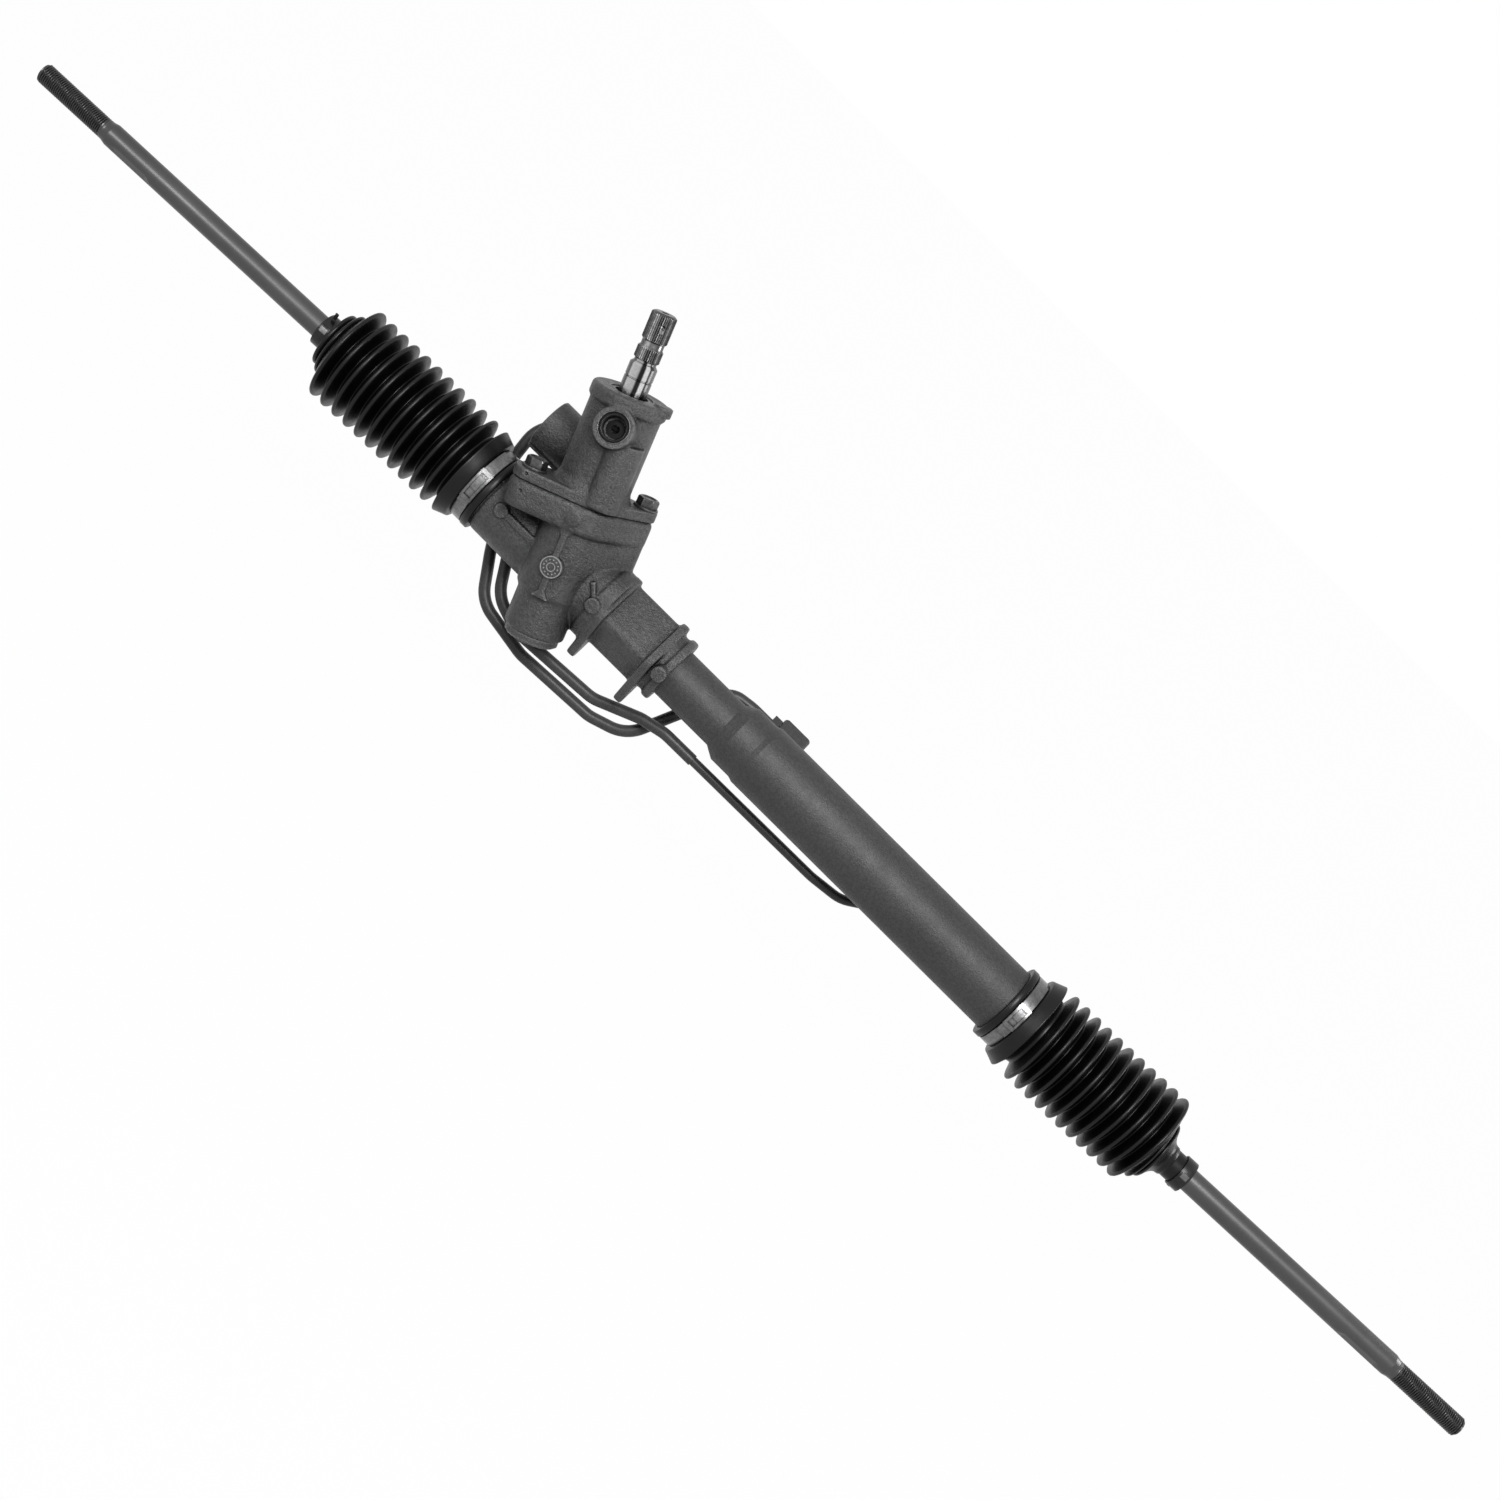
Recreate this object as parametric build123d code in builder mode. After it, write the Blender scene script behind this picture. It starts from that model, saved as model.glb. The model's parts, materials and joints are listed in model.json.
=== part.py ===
from build123d import *
import math
import os

# Hydraulic rack-and-pinion steering gear: an aluminium gear housing with a saddle, a steel
# power cylinder, a rotary valve tower, the rack with its piston, and two jointed tie rods.
# Millimetres. +X runs along the rack towards the power cylinder, +Z is up. The origin is
# the middle of the saddle, on the rack's axis. Pieces that touch get the clearances below.

os.makedirs("parts", exist_ok=True)

# ---------------------------------------------------------------- clearances
seat_gap = 0.05  # pieces of one body that sit in or on each other
running_gap = 0.05  # a shaft turning or sliding in its hole
soft_gap = 0.3  # a soft piece beside a piece that moves
thread_gap = 0.1  # a screw in its threaded hole

# ---------------------------------------------------------------- rack and mesh
rack_radius = 12.5
stroke = 68.0
rack_centre_x = 203.0  # the piston's middle at rest
ball_left_x = -228.0
ball_right_x = 443.0
module_normal = 1.8
pinion_teeth = 8
pressure_angle = math.radians(20)
profile_shift = 0.45
backlash = 0.10
rack_tip_y = -7.0  # the flat that the rack's tooth tips lie in

# ---------------------------------------------------------------- pinion axis
pinion_lean = 19.6  # degrees from +Z towards -X
mesh_x = -61.7  # where the pinion's axis passes the rack's axis
lean = math.radians(pinion_lean)
normal_pitch = math.pi * module_normal
pitch_radius = pinion_teeth * module_normal / math.cos(lean) / 2
rack_addendum = 0.5 * module_normal  # short, so that the small pinion isn't undercut
pinion_addendum = 1.2 * module_normal
tip_clearance = 0.35
pin_turn = 27.0  # degrees from the front that the torsion bar's pins are turned
pinion_tip_radius = pitch_radius + pinion_addendum
pinion_root_radius = pitch_radius - rack_addendum - tip_clearance - 0.1
pinion_y = rack_tip_y - (pitch_radius - rack_addendum)
rack_root_y = pinion_y + pinion_tip_radius + tip_clearance

pinion_up = Vector(-math.sin(lean), 0, math.cos(lean))
pinion_across = Vector(math.cos(lean), 0, math.sin(lean))
pinion_origin = Vector(mesh_x, pinion_y, 0)
pinion_axis = Axis(pinion_origin, pinion_up)
# Turned pieces on the pinion's axis are drawn as (height, radius) in this plane.
pinion_section = Plane(pinion_origin, x_dir=pinion_up, z_dir=(0, 1, 0))
# Flat pieces across the pinion's axis are drawn here: x to the right, y to the back.
pinion_level = Plane(pinion_origin, x_dir=pinion_across, z_dir=pinion_up)
# Side view of the pinion's axis: x to the right, y up along the axis, towards the front.
pinion_side = Plane(pinion_origin, x_dir=pinion_across, z_dir=(0, -1, 0))
# The same view turned about the axis: the torsion bar's pins lie along this plane's normal.
pin_across = pinion_across.rotate(Axis((0, 0, 0), pinion_up), pin_turn)
pin_side = Plane(pinion_origin, x_dir=pin_across, z_dir=pinion_up.cross(pin_across) * -1)
rack_section = Plane.XY

# ---------------------------------------------------------------- power cylinder
tube_radius = 23.45
tube_wall = 3.45
tube_bore = tube_radius - tube_wall
neck_radius = 17.55
neck_start_x = 35.0
neck_end_x = 82.5
flare_end_x = 90.7
flare_radius = tube_radius - 1.25
step_start_x = 106.3
step_end_x = 110.0
tube_end_x = 352.0
tube_spigot_radius = 15.5
tube_spigot_x = 8.0
bulkhead_x = 104.0  # face of the inner seal, towards the piston at 112
bulkhead_width = 8.0
piston_width = 18.0
piston_radius = tube_bore - 0.3
piston_groove_radius = piston_radius - 2.2
piston_chamfer = 2.0
port_radius_from_axis = tube_radius + 8.55  # line ports, from the rack's axis
near_port_x = 107.0
near_port_angle = 21.0
far_port_x = 276.0
far_port_angle = 0.0
port_block_length = 22.0
port_block_top = tube_radius + 16.05
stopper_start_x = 297.0
stopper_end_x = 344.0

# ---------------------------------------------------------------- gear housing
housing_tube_radius = 25.0
left_spigot_x = -139.0
left_shoulder_x = -123.5
rack_bore = 13.2
block_side = 38.0
block_corner = 5.0
flange_middle_x = 21.0
flange_thickness = 6.0
flange_side = 45.0
fin_reach = 40.0
hub_radius = 22.0
column_radius = 22.5
boss_radius = 20.0
boss_bottom = -44.0
cap_bottom = -49.5
split_height = 48.0  # joint face between gear housing and valve housing
gear_flange_depth = 19.0
valve_flange_depth = 7.0
joint_radius = 26.0
joint_fillet = 4.0
ear_radii = (8.6, 12.0)  # right ear, left ear
ear_points = [(32.4, 17.7), (-34.7, -17.7)]  # across the pinion, and to the back
bolt_radius = 4.0
bolt_head_radius = 7.2
bolt_head_height = 5.5
bolt_length = 22.0
bolt_flange_radius = 8.3
bolt_flange_thickness = 1.6
yoke_boss_radius = 24.0
yoke_boss_end_y = 42.0
yoke_radius = 16.0

# ---------------------------------------------------------------- valve housing
tower_radius = 23.5
tower_top = 120.5
collar_radius = 25.5
collar_start = 112.0
sleeve_radius = 17.5
seal_bore = 13.75
shaft_top = 170.5
shaft_radius = 9.1
spline_radius = 8.4
spline_start = 153.4
shaft_neck_radius = 7.3
port_height = 93.5
port_rise = 15.0  # degrees that the pressure port points up from the front
port_swing = -4.0
port_reach = 30.5
port_depth = 8.0
port_thread_radius = 8.0
port_boss_radius = 14.0
port_rim_radius = 10.2  # a shallow recess round the thread
port_rim_depth = 1.0
port_seat_radius = 5.8
port_seat_height = 2.0
port_gallery_radius = 2.8
pad_radius = 13.0
lug_radius = 6.2
lug_rise = 1.5
rear_boss_radius = 17.5
rear_boss_y = 20.0
rear_boss_z = 54.0
rear_boss_end_x = -134.0
return_port_depth = 12.0
near_line_start = (-112.0, 60.0)  # X and Z of the line ports in the rear boss
far_line_start = (-94.0, 52.0)
line_start_y = 31.0

# ---------------------------------------------------------------- tie rods and boots
rod_radius = 7.9
rod_thread_radius = 7.0
rod_thread_length = 56.0
flat_setback = 9.0  # from the thread to the spanner flats
flat_length = 34.0
flat_height = 7.0
rod_tip_left = 292.0  # ball centre to tip
rod_tip_right = 284.0
rod_droop = 2.25  # both rods lean the same way at rest, degrees
ball_radius = 13.0
liner_wall = 1.5
socket_radius = 18.0
socket_shoulder = 18.0
washer_thickness = 1.5
stud_radius = 7.0  # the socket's stud in the rack's end
stud_length = 20.0
boot_crest = 34.6
boot_valley = 25.6
band_width = 8.0
band_radius = 27.6
lip_radius = 28.4
ring_count = 11
clip_radius = 10.2
clip_width = 8.0
clip_setback = 0.6  # from the end of the cuff

# ---------------------------------------------------------------- cylinder lines
pipe_radius = 4.0  # the line to the near port, and the sleeve on the other line
line_radius = 3.2  # the line to the far port
nut_thread_radius = 6.0
nut_hex_radius = 8.0
nut_hex_length = 6.0
nut_thread_length = 7.0
largest_bend = 26.0
sleeve_end_x = 83.0


def section(plane, *points):
    """A closed profile through the given points of a plane."""
    with BuildSketch(plane) as profile:
        with BuildLine():
            Polyline(*points, close=True)
        make_face()
    return profile.sketch


def ring_section(plane, start, end, inner, outer):
    """The half section of a plain ring or disc, from start to end along its axis."""
    return section(plane, (start, inner), (end, inner), (end, outer), (start, outer))


def joint_outline(height):
    """The two-eared outline of the joint between the housings, at a height up the pinion."""
    with BuildSketch(pinion_level.offset(height)) as outline:
        Circle(joint_radius)
        for ear_point, ear_radius in zip(ear_points, ear_radii):
            with Locations(ear_point):
                Circle(ear_radius)
        make_hull(outline.edges())
    return outline.sketch


def disc(plane, radius):
    """A round sketch at a plane's origin."""
    with BuildSketch(plane) as round_face:
        Circle(radius)
    return round_face.sketch


def write_part(piece, name):
    piece.part.label = name
    export_step(piece.part, f"parts/{name}.step")


port_direction = (
    Vector(0, -1, 0)
    .rotate(Axis.X, -port_rise)
    .rotate(Axis.Z, port_swing)
)
port_centre = pinion_origin + pinion_up * port_height + pinion_across * 3
port_plane = Plane(port_centre, x_dir=(1, 0, 0), z_dir=port_direction)

# ================================================================ gear housing
guide_axis = Axis((mesh_x, 0, 0), (0, 1, 0))
guide_section = Plane((mesh_x, 0, 0), x_dir=(0, 1, 0), z_dir=(0, 0, 1))
wall_bottom = -10.0
rib_half = 2.2
rib_height = 2.0
plate_radius = 7.4
mark_radius = 4.8
rim_width = 6.0
step_width = 10.0

with BuildPart() as gear_housing:
    # The joint's flange.
    extrude(joint_outline(split_height - gear_flange_depth), amount=gear_flange_depth)
    fillet(gear_housing.faces().sort_by(Axis.Z)[0].edges(), joint_fillet)
    # The rack tube with the spigot for the left boot.
    revolve(
        section(
            rack_section,
            (left_spigot_x, 0),
            (left_spigot_x, tube_radius),
            (left_shoulder_x, tube_radius),
            (left_shoulder_x + 1.5, housing_tube_radius),
            (-flange_middle_x, housing_tube_radius + 1),
            (-flange_middle_x, 0),
        ),
        axis=Axis.X,
    )
    # The pinion's column and lower boss.
    revolve(
        section(
            pinion_section,
            (boss_bottom, 0),
            (boss_bottom, boss_radius - 1.5),
            (boss_bottom + 1.5, boss_radius),
            (-19, boss_radius),
            (-15, column_radius),
            (split_height - 6, column_radius),
            (split_height - 6, 0),
        ),
        axis=pinion_axis,
    )
    # The saddle: a square block on its corner between two flanges with fins.
    with BuildSketch(Plane.YZ.offset(-flange_middle_x)):
        RectangleRounded(block_side, block_side, block_corner, rotation=45)
    extrude(amount=2 * flange_middle_x)
    for middle in (-flange_middle_x, flange_middle_x):
        with BuildSketch(Plane.YZ.offset(middle - flange_thickness / 2)) as plate:
            RectangleRounded(flange_side, flange_side, 9, rotation=45)
            with Locations((0, 6 - fin_reach)):
                Circle(6)
            with Locations((0, -8)):
                Circle(20)
            make_hull(plate.edges())
        extrude(amount=flange_thickness)
    # The hub that takes the power cylinder's neck, with a rim at its end, and a step on
    # the other side of the saddle.
    revolve(ring_section(rack_section, flange_middle_x, neck_start_x, 0, hub_radius), axis=Axis.X)
    revolve(
        section(
            rack_section,
            (neck_start_x - rim_width, 0),
            (neck_start_x - rim_width, hub_radius + 1),
            (neck_start_x - rim_width + 1, hub_radius + 2),
            (neck_start_x - 1, hub_radius + 2),
            (neck_start_x, hub_radius + 1),
            (neck_start_x, 0),
        ),
        axis=Axis.X,
    )
    revolve(
        ring_section(
            rack_section,
            -flange_middle_x - step_width,
            -flange_middle_x,
            0,
            housing_tube_radius + 2,
        ),
        axis=Axis.X,
    )
    # The wall from the pinion's column to the flange's right ear.
    with BuildSketch(pinion_level.offset(wall_bottom)) as wall:
        Circle(column_radius)
        with Locations(ear_points[0]):
            Circle(ear_radii[0] - 0.3)
        make_hull(wall.edges())
    extrude(amount=split_height - 6 - wall_bottom)
    # The rack guide's boss on the back.
    revolve(ring_section(guide_section, 0, yoke_boss_end_y, 0, yoke_boss_radius), axis=guide_axis)
    # The rib down the column's front, which widens at both ends, with a round plate on it.
    extrude(
        section(
            pinion_side.offset(14),
            (-7.5, 32),
            (-rib_half, 26),
            (-rib_half, -12),
            (-6, -17),
            (6, -17),
            (rib_half, -12),
            (rib_half, 26),
            (5.5, 32),
        ),
        amount=column_radius + rib_height - 14,
    )
    with BuildSketch(pinion_side.offset(16)):
        with Locations((0.3, 4.8)):
            Circle(plate_radius)
    extrude(amount=column_radius + rib_height + 1.3 - 16)
    # Round marks: on the flange, on the rack tube with its rib, and beside the saddle.
    with BuildSketch(pinion_side.offset(16)):
        with Locations((1.7, 39)):
            Circle(mark_radius)
    extrude(amount=joint_radius + 1.2 - 16)
    with BuildSketch(Plane.XZ.offset(16)):
        with Locations((-96, 4)):
            Rectangle(32, 4.8)
    extrude(amount=housing_tube_radius + 1.6 - 16)
    with BuildSketch(Plane.XZ.offset(16)):
        with Locations((-111.5, 4)):
            Circle(mark_radius)
    extrude(amount=housing_tube_radius + 2.6 - 16)
    with BuildSketch(Plane.XZ.offset(neck_radius + 2)):
        with Locations((-flange_middle_x - 7.9, 2.3), (flange_middle_x + 9.5, 1)):
            Circle(mark_radius + 0.4)
    extrude(amount=housing_tube_radius + 2.5 - neck_radius)
    with BuildSketch(Plane.XZ.offset(16)):
        with Locations((-flange_middle_x - 14, 9)):
            Rectangle(11, 3, rotation=-45)
    extrude(amount=housing_tube_radius + 2 - 16)
    # Bores: rack, cylinder neck, pinion with its bearings, guide, and the joint's bolts.
    revolve(
        ring_section(rack_section, left_spigot_x, neck_start_x, 0, rack_bore),
        axis=Axis.X,
        mode=Mode.SUBTRACT,
    )
    revolve(
        ring_section(rack_section, tube_spigot_x, neck_start_x, 0, tube_spigot_radius + seat_gap),
        axis=Axis.X,
        mode=Mode.SUBTRACT,
    )
    revolve(
        section(
            pinion_section,
            (boss_bottom, 0),
            (boss_bottom, 17),
            (boss_bottom + 6, 17),
            (boss_bottom + 6, 15 + seat_gap),
            (-27, 15 + seat_gap),
            (-27, pinion_tip_radius + 1.5),
            (33, pinion_tip_radius + 1.5),
            (33, 20 + seat_gap),
            (split_height, 20 + seat_gap),
            (split_height, 0),
        ),
        axis=pinion_axis,
        mode=Mode.SUBTRACT,
    )
    revolve(
        ring_section(guide_section, 2, yoke_boss_end_y, 0, yoke_radius),
        axis=guide_axis,
        mode=Mode.SUBTRACT,
    )
    with BuildSketch(pinion_level.offset(split_height - 17)):
        with Locations(*ear_points):
            Circle(bolt_radius)
    extrude(amount=17, mode=Mode.SUBTRACT)
write_part(gear_housing, "gear_housing")

# ================================================================ power cylinder tube
near_angle = math.radians(near_port_angle)
far_angle = math.radians(far_port_angle)
line_ports = {
    "near": (near_port_x, math.cos(near_angle), math.sin(near_angle)),
    "far": (far_port_x, math.cos(far_angle), math.sin(far_angle)),
}

with BuildPart() as cylinder_tube:
    for port_x, out_y, out_z in line_ports.values():
        block = Plane((port_x, 0, 0), x_dir=(1, 0, 0), z_dir=(0, out_y, out_z))
        with BuildSketch(block.offset(tube_bore + 1)):
            with Locations((port_block_length / 2, 0)):
                RectangleRounded(port_block_length, 17, 3)
        extrude(amount=port_block_top - tube_bore - 1)
    fillet(cylinder_tube.faces().filter_by(GeomType.PLANE).sort_by(Axis.Y)[-1].edges(), 2)
    revolve(
        section(
            rack_section,
            (tube_spigot_x, 0),
            (tube_spigot_x, tube_spigot_radius),
            (neck_start_x, tube_spigot_radius),
            (neck_start_x, neck_radius),
            (neck_end_x, neck_radius),
            (flare_end_x, flare_radius),
            (step_start_x, flare_radius),
            (step_end_x, tube_radius),
            (tube_end_x, tube_radius),
            (tube_end_x, 0),
        ),
        axis=Axis.X,
    )
    revolve(
        section(
            rack_section,
            (tube_spigot_x, 0),
            (tube_spigot_x, rack_bore),
            (bulkhead_x, rack_bore),
            (bulkhead_x, tube_bore),
            (tube_end_x, tube_bore),
            (tube_end_x, 0),
        ),
        axis=Axis.X,
        mode=Mode.SUBTRACT,
    )
    for port_x, out_y, out_z in line_ports.values():
        mouth = Plane(
            (port_x, out_y * port_radius_from_axis, out_z * port_radius_from_axis),
            x_dir=(0, 1, 0),
            z_dir=(1, 0, 0),
        )
        extrude(disc(mouth, nut_thread_radius + thread_gap), amount=10, mode=Mode.SUBTRACT)
        down = Plane(
            (port_x + 9, out_y * port_radius_from_axis, out_z * port_radius_from_axis),
            x_dir=(1, 0, 0),
            z_dir=(0, -out_y, -out_z),
        )
        extrude(disc(down, 2), amount=port_radius_from_axis - tube_bore + 2, mode=Mode.SUBTRACT)
write_part(cylinder_tube, "cylinder_tube")

# ================================================================ valve housing
with BuildPart() as valve_housing:
    extrude(joint_outline(split_height), amount=valve_flange_depth)
    tower_base = split_height + valve_flange_depth
    revolve(
        section(
            pinion_section,
            (tower_base - 2, 0),
            (tower_base - 2, joint_radius),
            (tower_base, joint_radius),
            (tower_base + 6, tower_radius),
            (collar_start - 2, tower_radius),
            (collar_start, collar_radius),
            (tower_top - 1.5, collar_radius),
            (tower_top, collar_radius - 1.5),
            (tower_top, 0),
        ),
        axis=pinion_axis,
    )
    # The port's boss, its web to the collar, the gallery's pad below it, the collar's lug.
    extrude(disc(port_plane.offset(10), port_boss_radius), amount=port_reach - 10, taper=2)
    with BuildSketch(pinion_level.offset(port_height)):
        with Locations((3.5, -tower_radius / 2)):
            Rectangle(10, tower_radius + 2.4)
    extrude(amount=collar_start + 3 - port_height)
    with BuildSketch(pinion_level.offset(split_height + 1)):
        with Locations((11, -13.2)):
            Circle(pad_radius)
    extrude(amount=port_height - split_height - 1)
    with BuildSketch(pinion_level.offset(collar_start + 3.5)):
        with Locations((collar_radius - 3, -3)):
            Circle(lug_radius)
    extrude(amount=tower_top + lug_rise - collar_start - 3.5)
    # The rear boss carries the return port and both cylinder lines.
    rear_start = Plane(
        (rear_boss_end_x, rear_boss_y, rear_boss_z),
        x_dir=(0, 1, 0),
        z_dir=(1, 0, 0),
    )
    extrude(disc(rear_start, rear_boss_radius), amount=-rear_boss_end_x - 84)
    with BuildSketch(Plane.XZ.offset(-rear_boss_y - 2)):
        with Locations((-108, 37)):
            Rectangle(52, 4.5)
    extrude(amount=8)
    extrude(joint_outline(split_height), amount=-gear_flange_depth, mode=Mode.SUBTRACT)
    # The bore for the seal, the valve sleeve, the shaft's bearing and its seal.
    revolve(
        section(
            pinion_section,
            (split_height, 0),
            (split_height, sleeve_radius + running_gap),
            (107, sleeve_radius + running_gap),
            (107, seal_bore),
            (118.6, seal_bore),
            (118.6, seal_bore + 0.7),
            (119.8, seal_bore + 0.7),
            (119.8, seal_bore),
            (tower_top, seal_bore),
            (tower_top, 0),
        ),
        axis=pinion_axis,
        mode=Mode.SUBTRACT,
    )
    with BuildSketch(pinion_level.offset(split_height)):
        with Locations(*ear_points):
            Circle(bolt_radius + 0.4)
    extrude(amount=valve_flange_depth, mode=Mode.SUBTRACT)
    # The pressure port: thread, flare seat and gallery.
    port_face = port_plane.offset(port_reach)
    extrude(disc(port_face, port_thread_radius), amount=-port_depth, mode=Mode.SUBTRACT)
    extrude(disc(port_face, port_rim_radius), amount=-port_rim_depth, mode=Mode.SUBTRACT)
    extrude(
        disc(port_face, port_seat_radius + seat_gap),
        amount=-port_depth - port_seat_height,
        mode=Mode.SUBTRACT,
    )
    extrude(disc(port_face, port_gallery_radius), amount=-port_reach, mode=Mode.SUBTRACT)
    # The return port, and the two line ports on the back.
    extrude(disc(rear_start, port_thread_radius), amount=return_port_depth, mode=Mode.SUBTRACT)
    for line_x, line_z in (near_line_start, far_line_start):
        mouth = Plane(
            (line_x, line_start_y + 11, line_z),
            x_dir=(1, 0, 0),
            z_dir=(0, -1, 0),
        )
        extrude(disc(mouth, nut_thread_radius + thread_gap), amount=16, mode=Mode.SUBTRACT)
write_part(valve_housing, "valve_housing")

# ================================================================ joint of the housings
with BuildPart() as valve_housing_bolts:
    for x, y in ear_points:
        joint_top = pinion_level.offset(split_height + valve_flange_depth)
        seat = Plane(
            joint_top.from_local_coords((x, y, 0)),
            x_dir=pinion_across,
            z_dir=pinion_up,
        )
        extrude(disc(seat.offset(-bolt_length), bolt_radius - thread_gap), amount=bolt_length)
        extrude(disc(seat, bolt_flange_radius), amount=bolt_flange_thickness)
        with BuildSketch(seat.offset(bolt_flange_thickness)):
            RegularPolygon(bolt_head_radius, 6)
        extrude(amount=bolt_head_height)
write_part(valve_housing_bolts, "valve_housing_bolts")

with BuildPart() as pinion_end_cap:
    revolve(
        section(
            pinion_section,
            (cap_bottom, 0),
            (cap_bottom, 16),
            (cap_bottom + 1.5, 17.8),
            (boss_bottom - seat_gap, 17.8),
            (boss_bottom - seat_gap, 17 - seat_gap),
            (boss_bottom + 5.8, 17 - seat_gap),
            (boss_bottom + 5.8, 0),
        ),
        axis=pinion_axis,
    )
    with BuildSketch(pinion_level.offset(cap_bottom)):
        Rectangle(9, 9)
    extrude(amount=4, mode=Mode.SUBTRACT)
write_part(pinion_end_cap, "pinion_end_cap")

# ================================================================ pinion bearings and seals
lower_journal = 6.0
upper_journal = 10.0
turned_seats = {
    # name: (start, end, inner radius, outer radius), along the pinion's axis
    "pinion_lower_bearing": (-37, -27.1, lower_journal + running_gap, 15.0),
    "pinion_upper_bearing": (33 + seat_gap, 44, upper_journal + running_gap, 20.0),
    "pinion_seal": (44 + seat_gap, 47.8, upper_journal + running_gap, 20.0),
    "input_shaft_bearing": (107 + seat_gap, 112.5, 9.6 + running_gap, seal_bore - seat_gap),
    "input_shaft_seal": (113, 118.5, shaft_radius + running_gap, seal_bore - seat_gap),
    "seal_retaining_ring": (118.7, 119.7, 11.0, seal_bore + 0.6),
}
for name, (start, end, inner, outer) in turned_seats.items():
    with BuildPart() as seated_ring:
        revolve(ring_section(pinion_section, start, end, inner, outer), axis=pinion_axis)
    write_part(seated_ring, name)

with BuildPart() as pressure_port_seat:
    revolve(
        ring_section(
            Plane(port_centre, x_dir=port_direction, z_dir=port_plane.x_dir),
            port_reach - port_depth - port_seat_height + seat_gap,
            port_reach - port_depth,
            port_gallery_radius,
            port_seat_radius,
        ),
        axis=Axis(port_centre, port_direction),
    )
write_part(pressure_port_seat, "pressure_port_seat")

# ================================================================ pinion
def involute(angle):
    return math.tan(angle) - angle


transverse_angle = math.atan(math.tan(pressure_angle) / math.cos(lean))
base_radius = pitch_radius * math.cos(transverse_angle)
tooth_normal = normal_pitch / 2 + 2 * profile_shift * module_normal * math.tan(pressure_angle)
half_tooth = tooth_normal / math.cos(lean) / (2 * pitch_radius)


def half_angle(radius):
    """Half the angle that a tooth of the pinion spans at a radius."""
    slope = math.acos(min(1.0, base_radius / radius))
    return half_tooth + involute(transverse_angle) - involute(slope)


def polar(radius, angle):
    return (radius * math.cos(angle), radius * math.sin(angle))


flank_radii = [base_radius, (base_radius + pinion_tip_radius) / 2, pinion_tip_radius]
gear_half_length = 15.0
tooth_points = []
for tooth in range(pinion_teeth):
    middle = math.pi / 2 + tooth * 2 * math.pi / pinion_teeth
    rising = [polar(r, middle - half_angle(r)) for r in flank_radii]
    falling = [polar(r, middle + half_angle(r)) for r in reversed(flank_radii)]
    root_start = polar(pinion_root_radius, middle - half_angle(base_radius))
    root_end = polar(pinion_root_radius, middle + half_angle(base_radius))
    tooth_points += [root_start, *rising, *falling, root_end]

twist = -math.degrees(gear_half_length * math.tan(lean) / pitch_radius)
with BuildSketch(pinion_level) as tooth_outline:
    with BuildLine():
        Polyline(*tooth_points, close=True)
    make_face()
gear_halves = [
    Solid.extrude_linear_with_rotation(
        tooth_outline.sketch.face(),
        pinion_origin,
        pinion_up * (way * gear_half_length),
        twist,
    )
    for way in (1, -1)
]

bar_radius = 4.0
pin_height = 22.0
pin_top_height = shaft_top - 7.5
pin_hole = 1.5
pin_play = 0.35
head_radius = 13.0
head_bottom = 50.0
head_top = 60.0
slot_width = 10.6
with BuildPart() as pinion_gear:
    add(gear_halves)
    revolve(
        section(
            pinion_section,
            (-37.5, 0),
            (-37.5, lower_journal - 0.5),
            (-37, lower_journal),
            (-gear_half_length + seat_gap, lower_journal),
            (-gear_half_length + seat_gap, 0),
        ),
        axis=pinion_axis,
    )
    revolve(
        section(
            pinion_section,
            (gear_half_length - seat_gap, 0),
            (gear_half_length - seat_gap, 8.5),
            (31, 8.5),
            (32, upper_journal),
            (head_bottom, upper_journal),
            (head_bottom, head_radius),
            (head_top, head_radius),
            (head_top, 0),
        ),
        axis=pinion_axis,
    )
    revolve(
        section(
            pinion_section,
            (14, 0),
            (14, bar_radius + seat_gap),
            (31, bar_radius + seat_gap),
            (31, bar_radius + 0.6),
            (head_top, bar_radius + 0.6),
            (head_top, 0),
        ),
        axis=pinion_axis,
        mode=Mode.SUBTRACT,
    )
    with BuildSketch(pinion_level.offset(head_top)):
        Rectangle(slot_width, 3 * head_radius)
    extrude(amount=-7.5, mode=Mode.SUBTRACT)
    with BuildSketch(pin_side.offset(-15)):
        with Locations((0, pin_height)):
            Circle(pin_hole)
    extrude(amount=30, mode=Mode.SUBTRACT)
write_part(pinion_gear, "pinion_gear")

with BuildPart() as torsion_bar:
    revolve(
        section(
            pinion_section,
            (14.2, 0),
            (14.2, bar_radius),
            (30, bar_radius),
            (33, 2.9),
            (pin_top_height - 15, 2.9),
            (pin_top_height - 12, bar_radius),
            (shaft_top - 2, bar_radius),
            (shaft_top - 2, 0),
        ),
        axis=pinion_axis,
    )
    # The upper hole is wider, because the shaft's pin moves in it as the bar twists.
    for height, hole in ((pin_height, pin_hole), (pin_top_height, pin_hole + pin_play)):
        with BuildSketch(pin_side.offset(-10)):
            with Locations((0, height)):
                Circle(hole)
        extrude(amount=20, mode=Mode.SUBTRACT)
write_part(torsion_bar, "torsion_bar")

for name, height, reach in (
    ("torsion_pin_lower", pin_height, 8.2),
    ("torsion_pin_upper", pin_top_height, 8.0),
):
    with BuildPart() as torsion_pin:
        with BuildSketch(pin_side.offset(-reach)):
            with Locations((0, height)):
                Circle(pin_hole - seat_gap)
        extrude(amount=2 * reach)
    write_part(torsion_pin, name)

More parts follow.
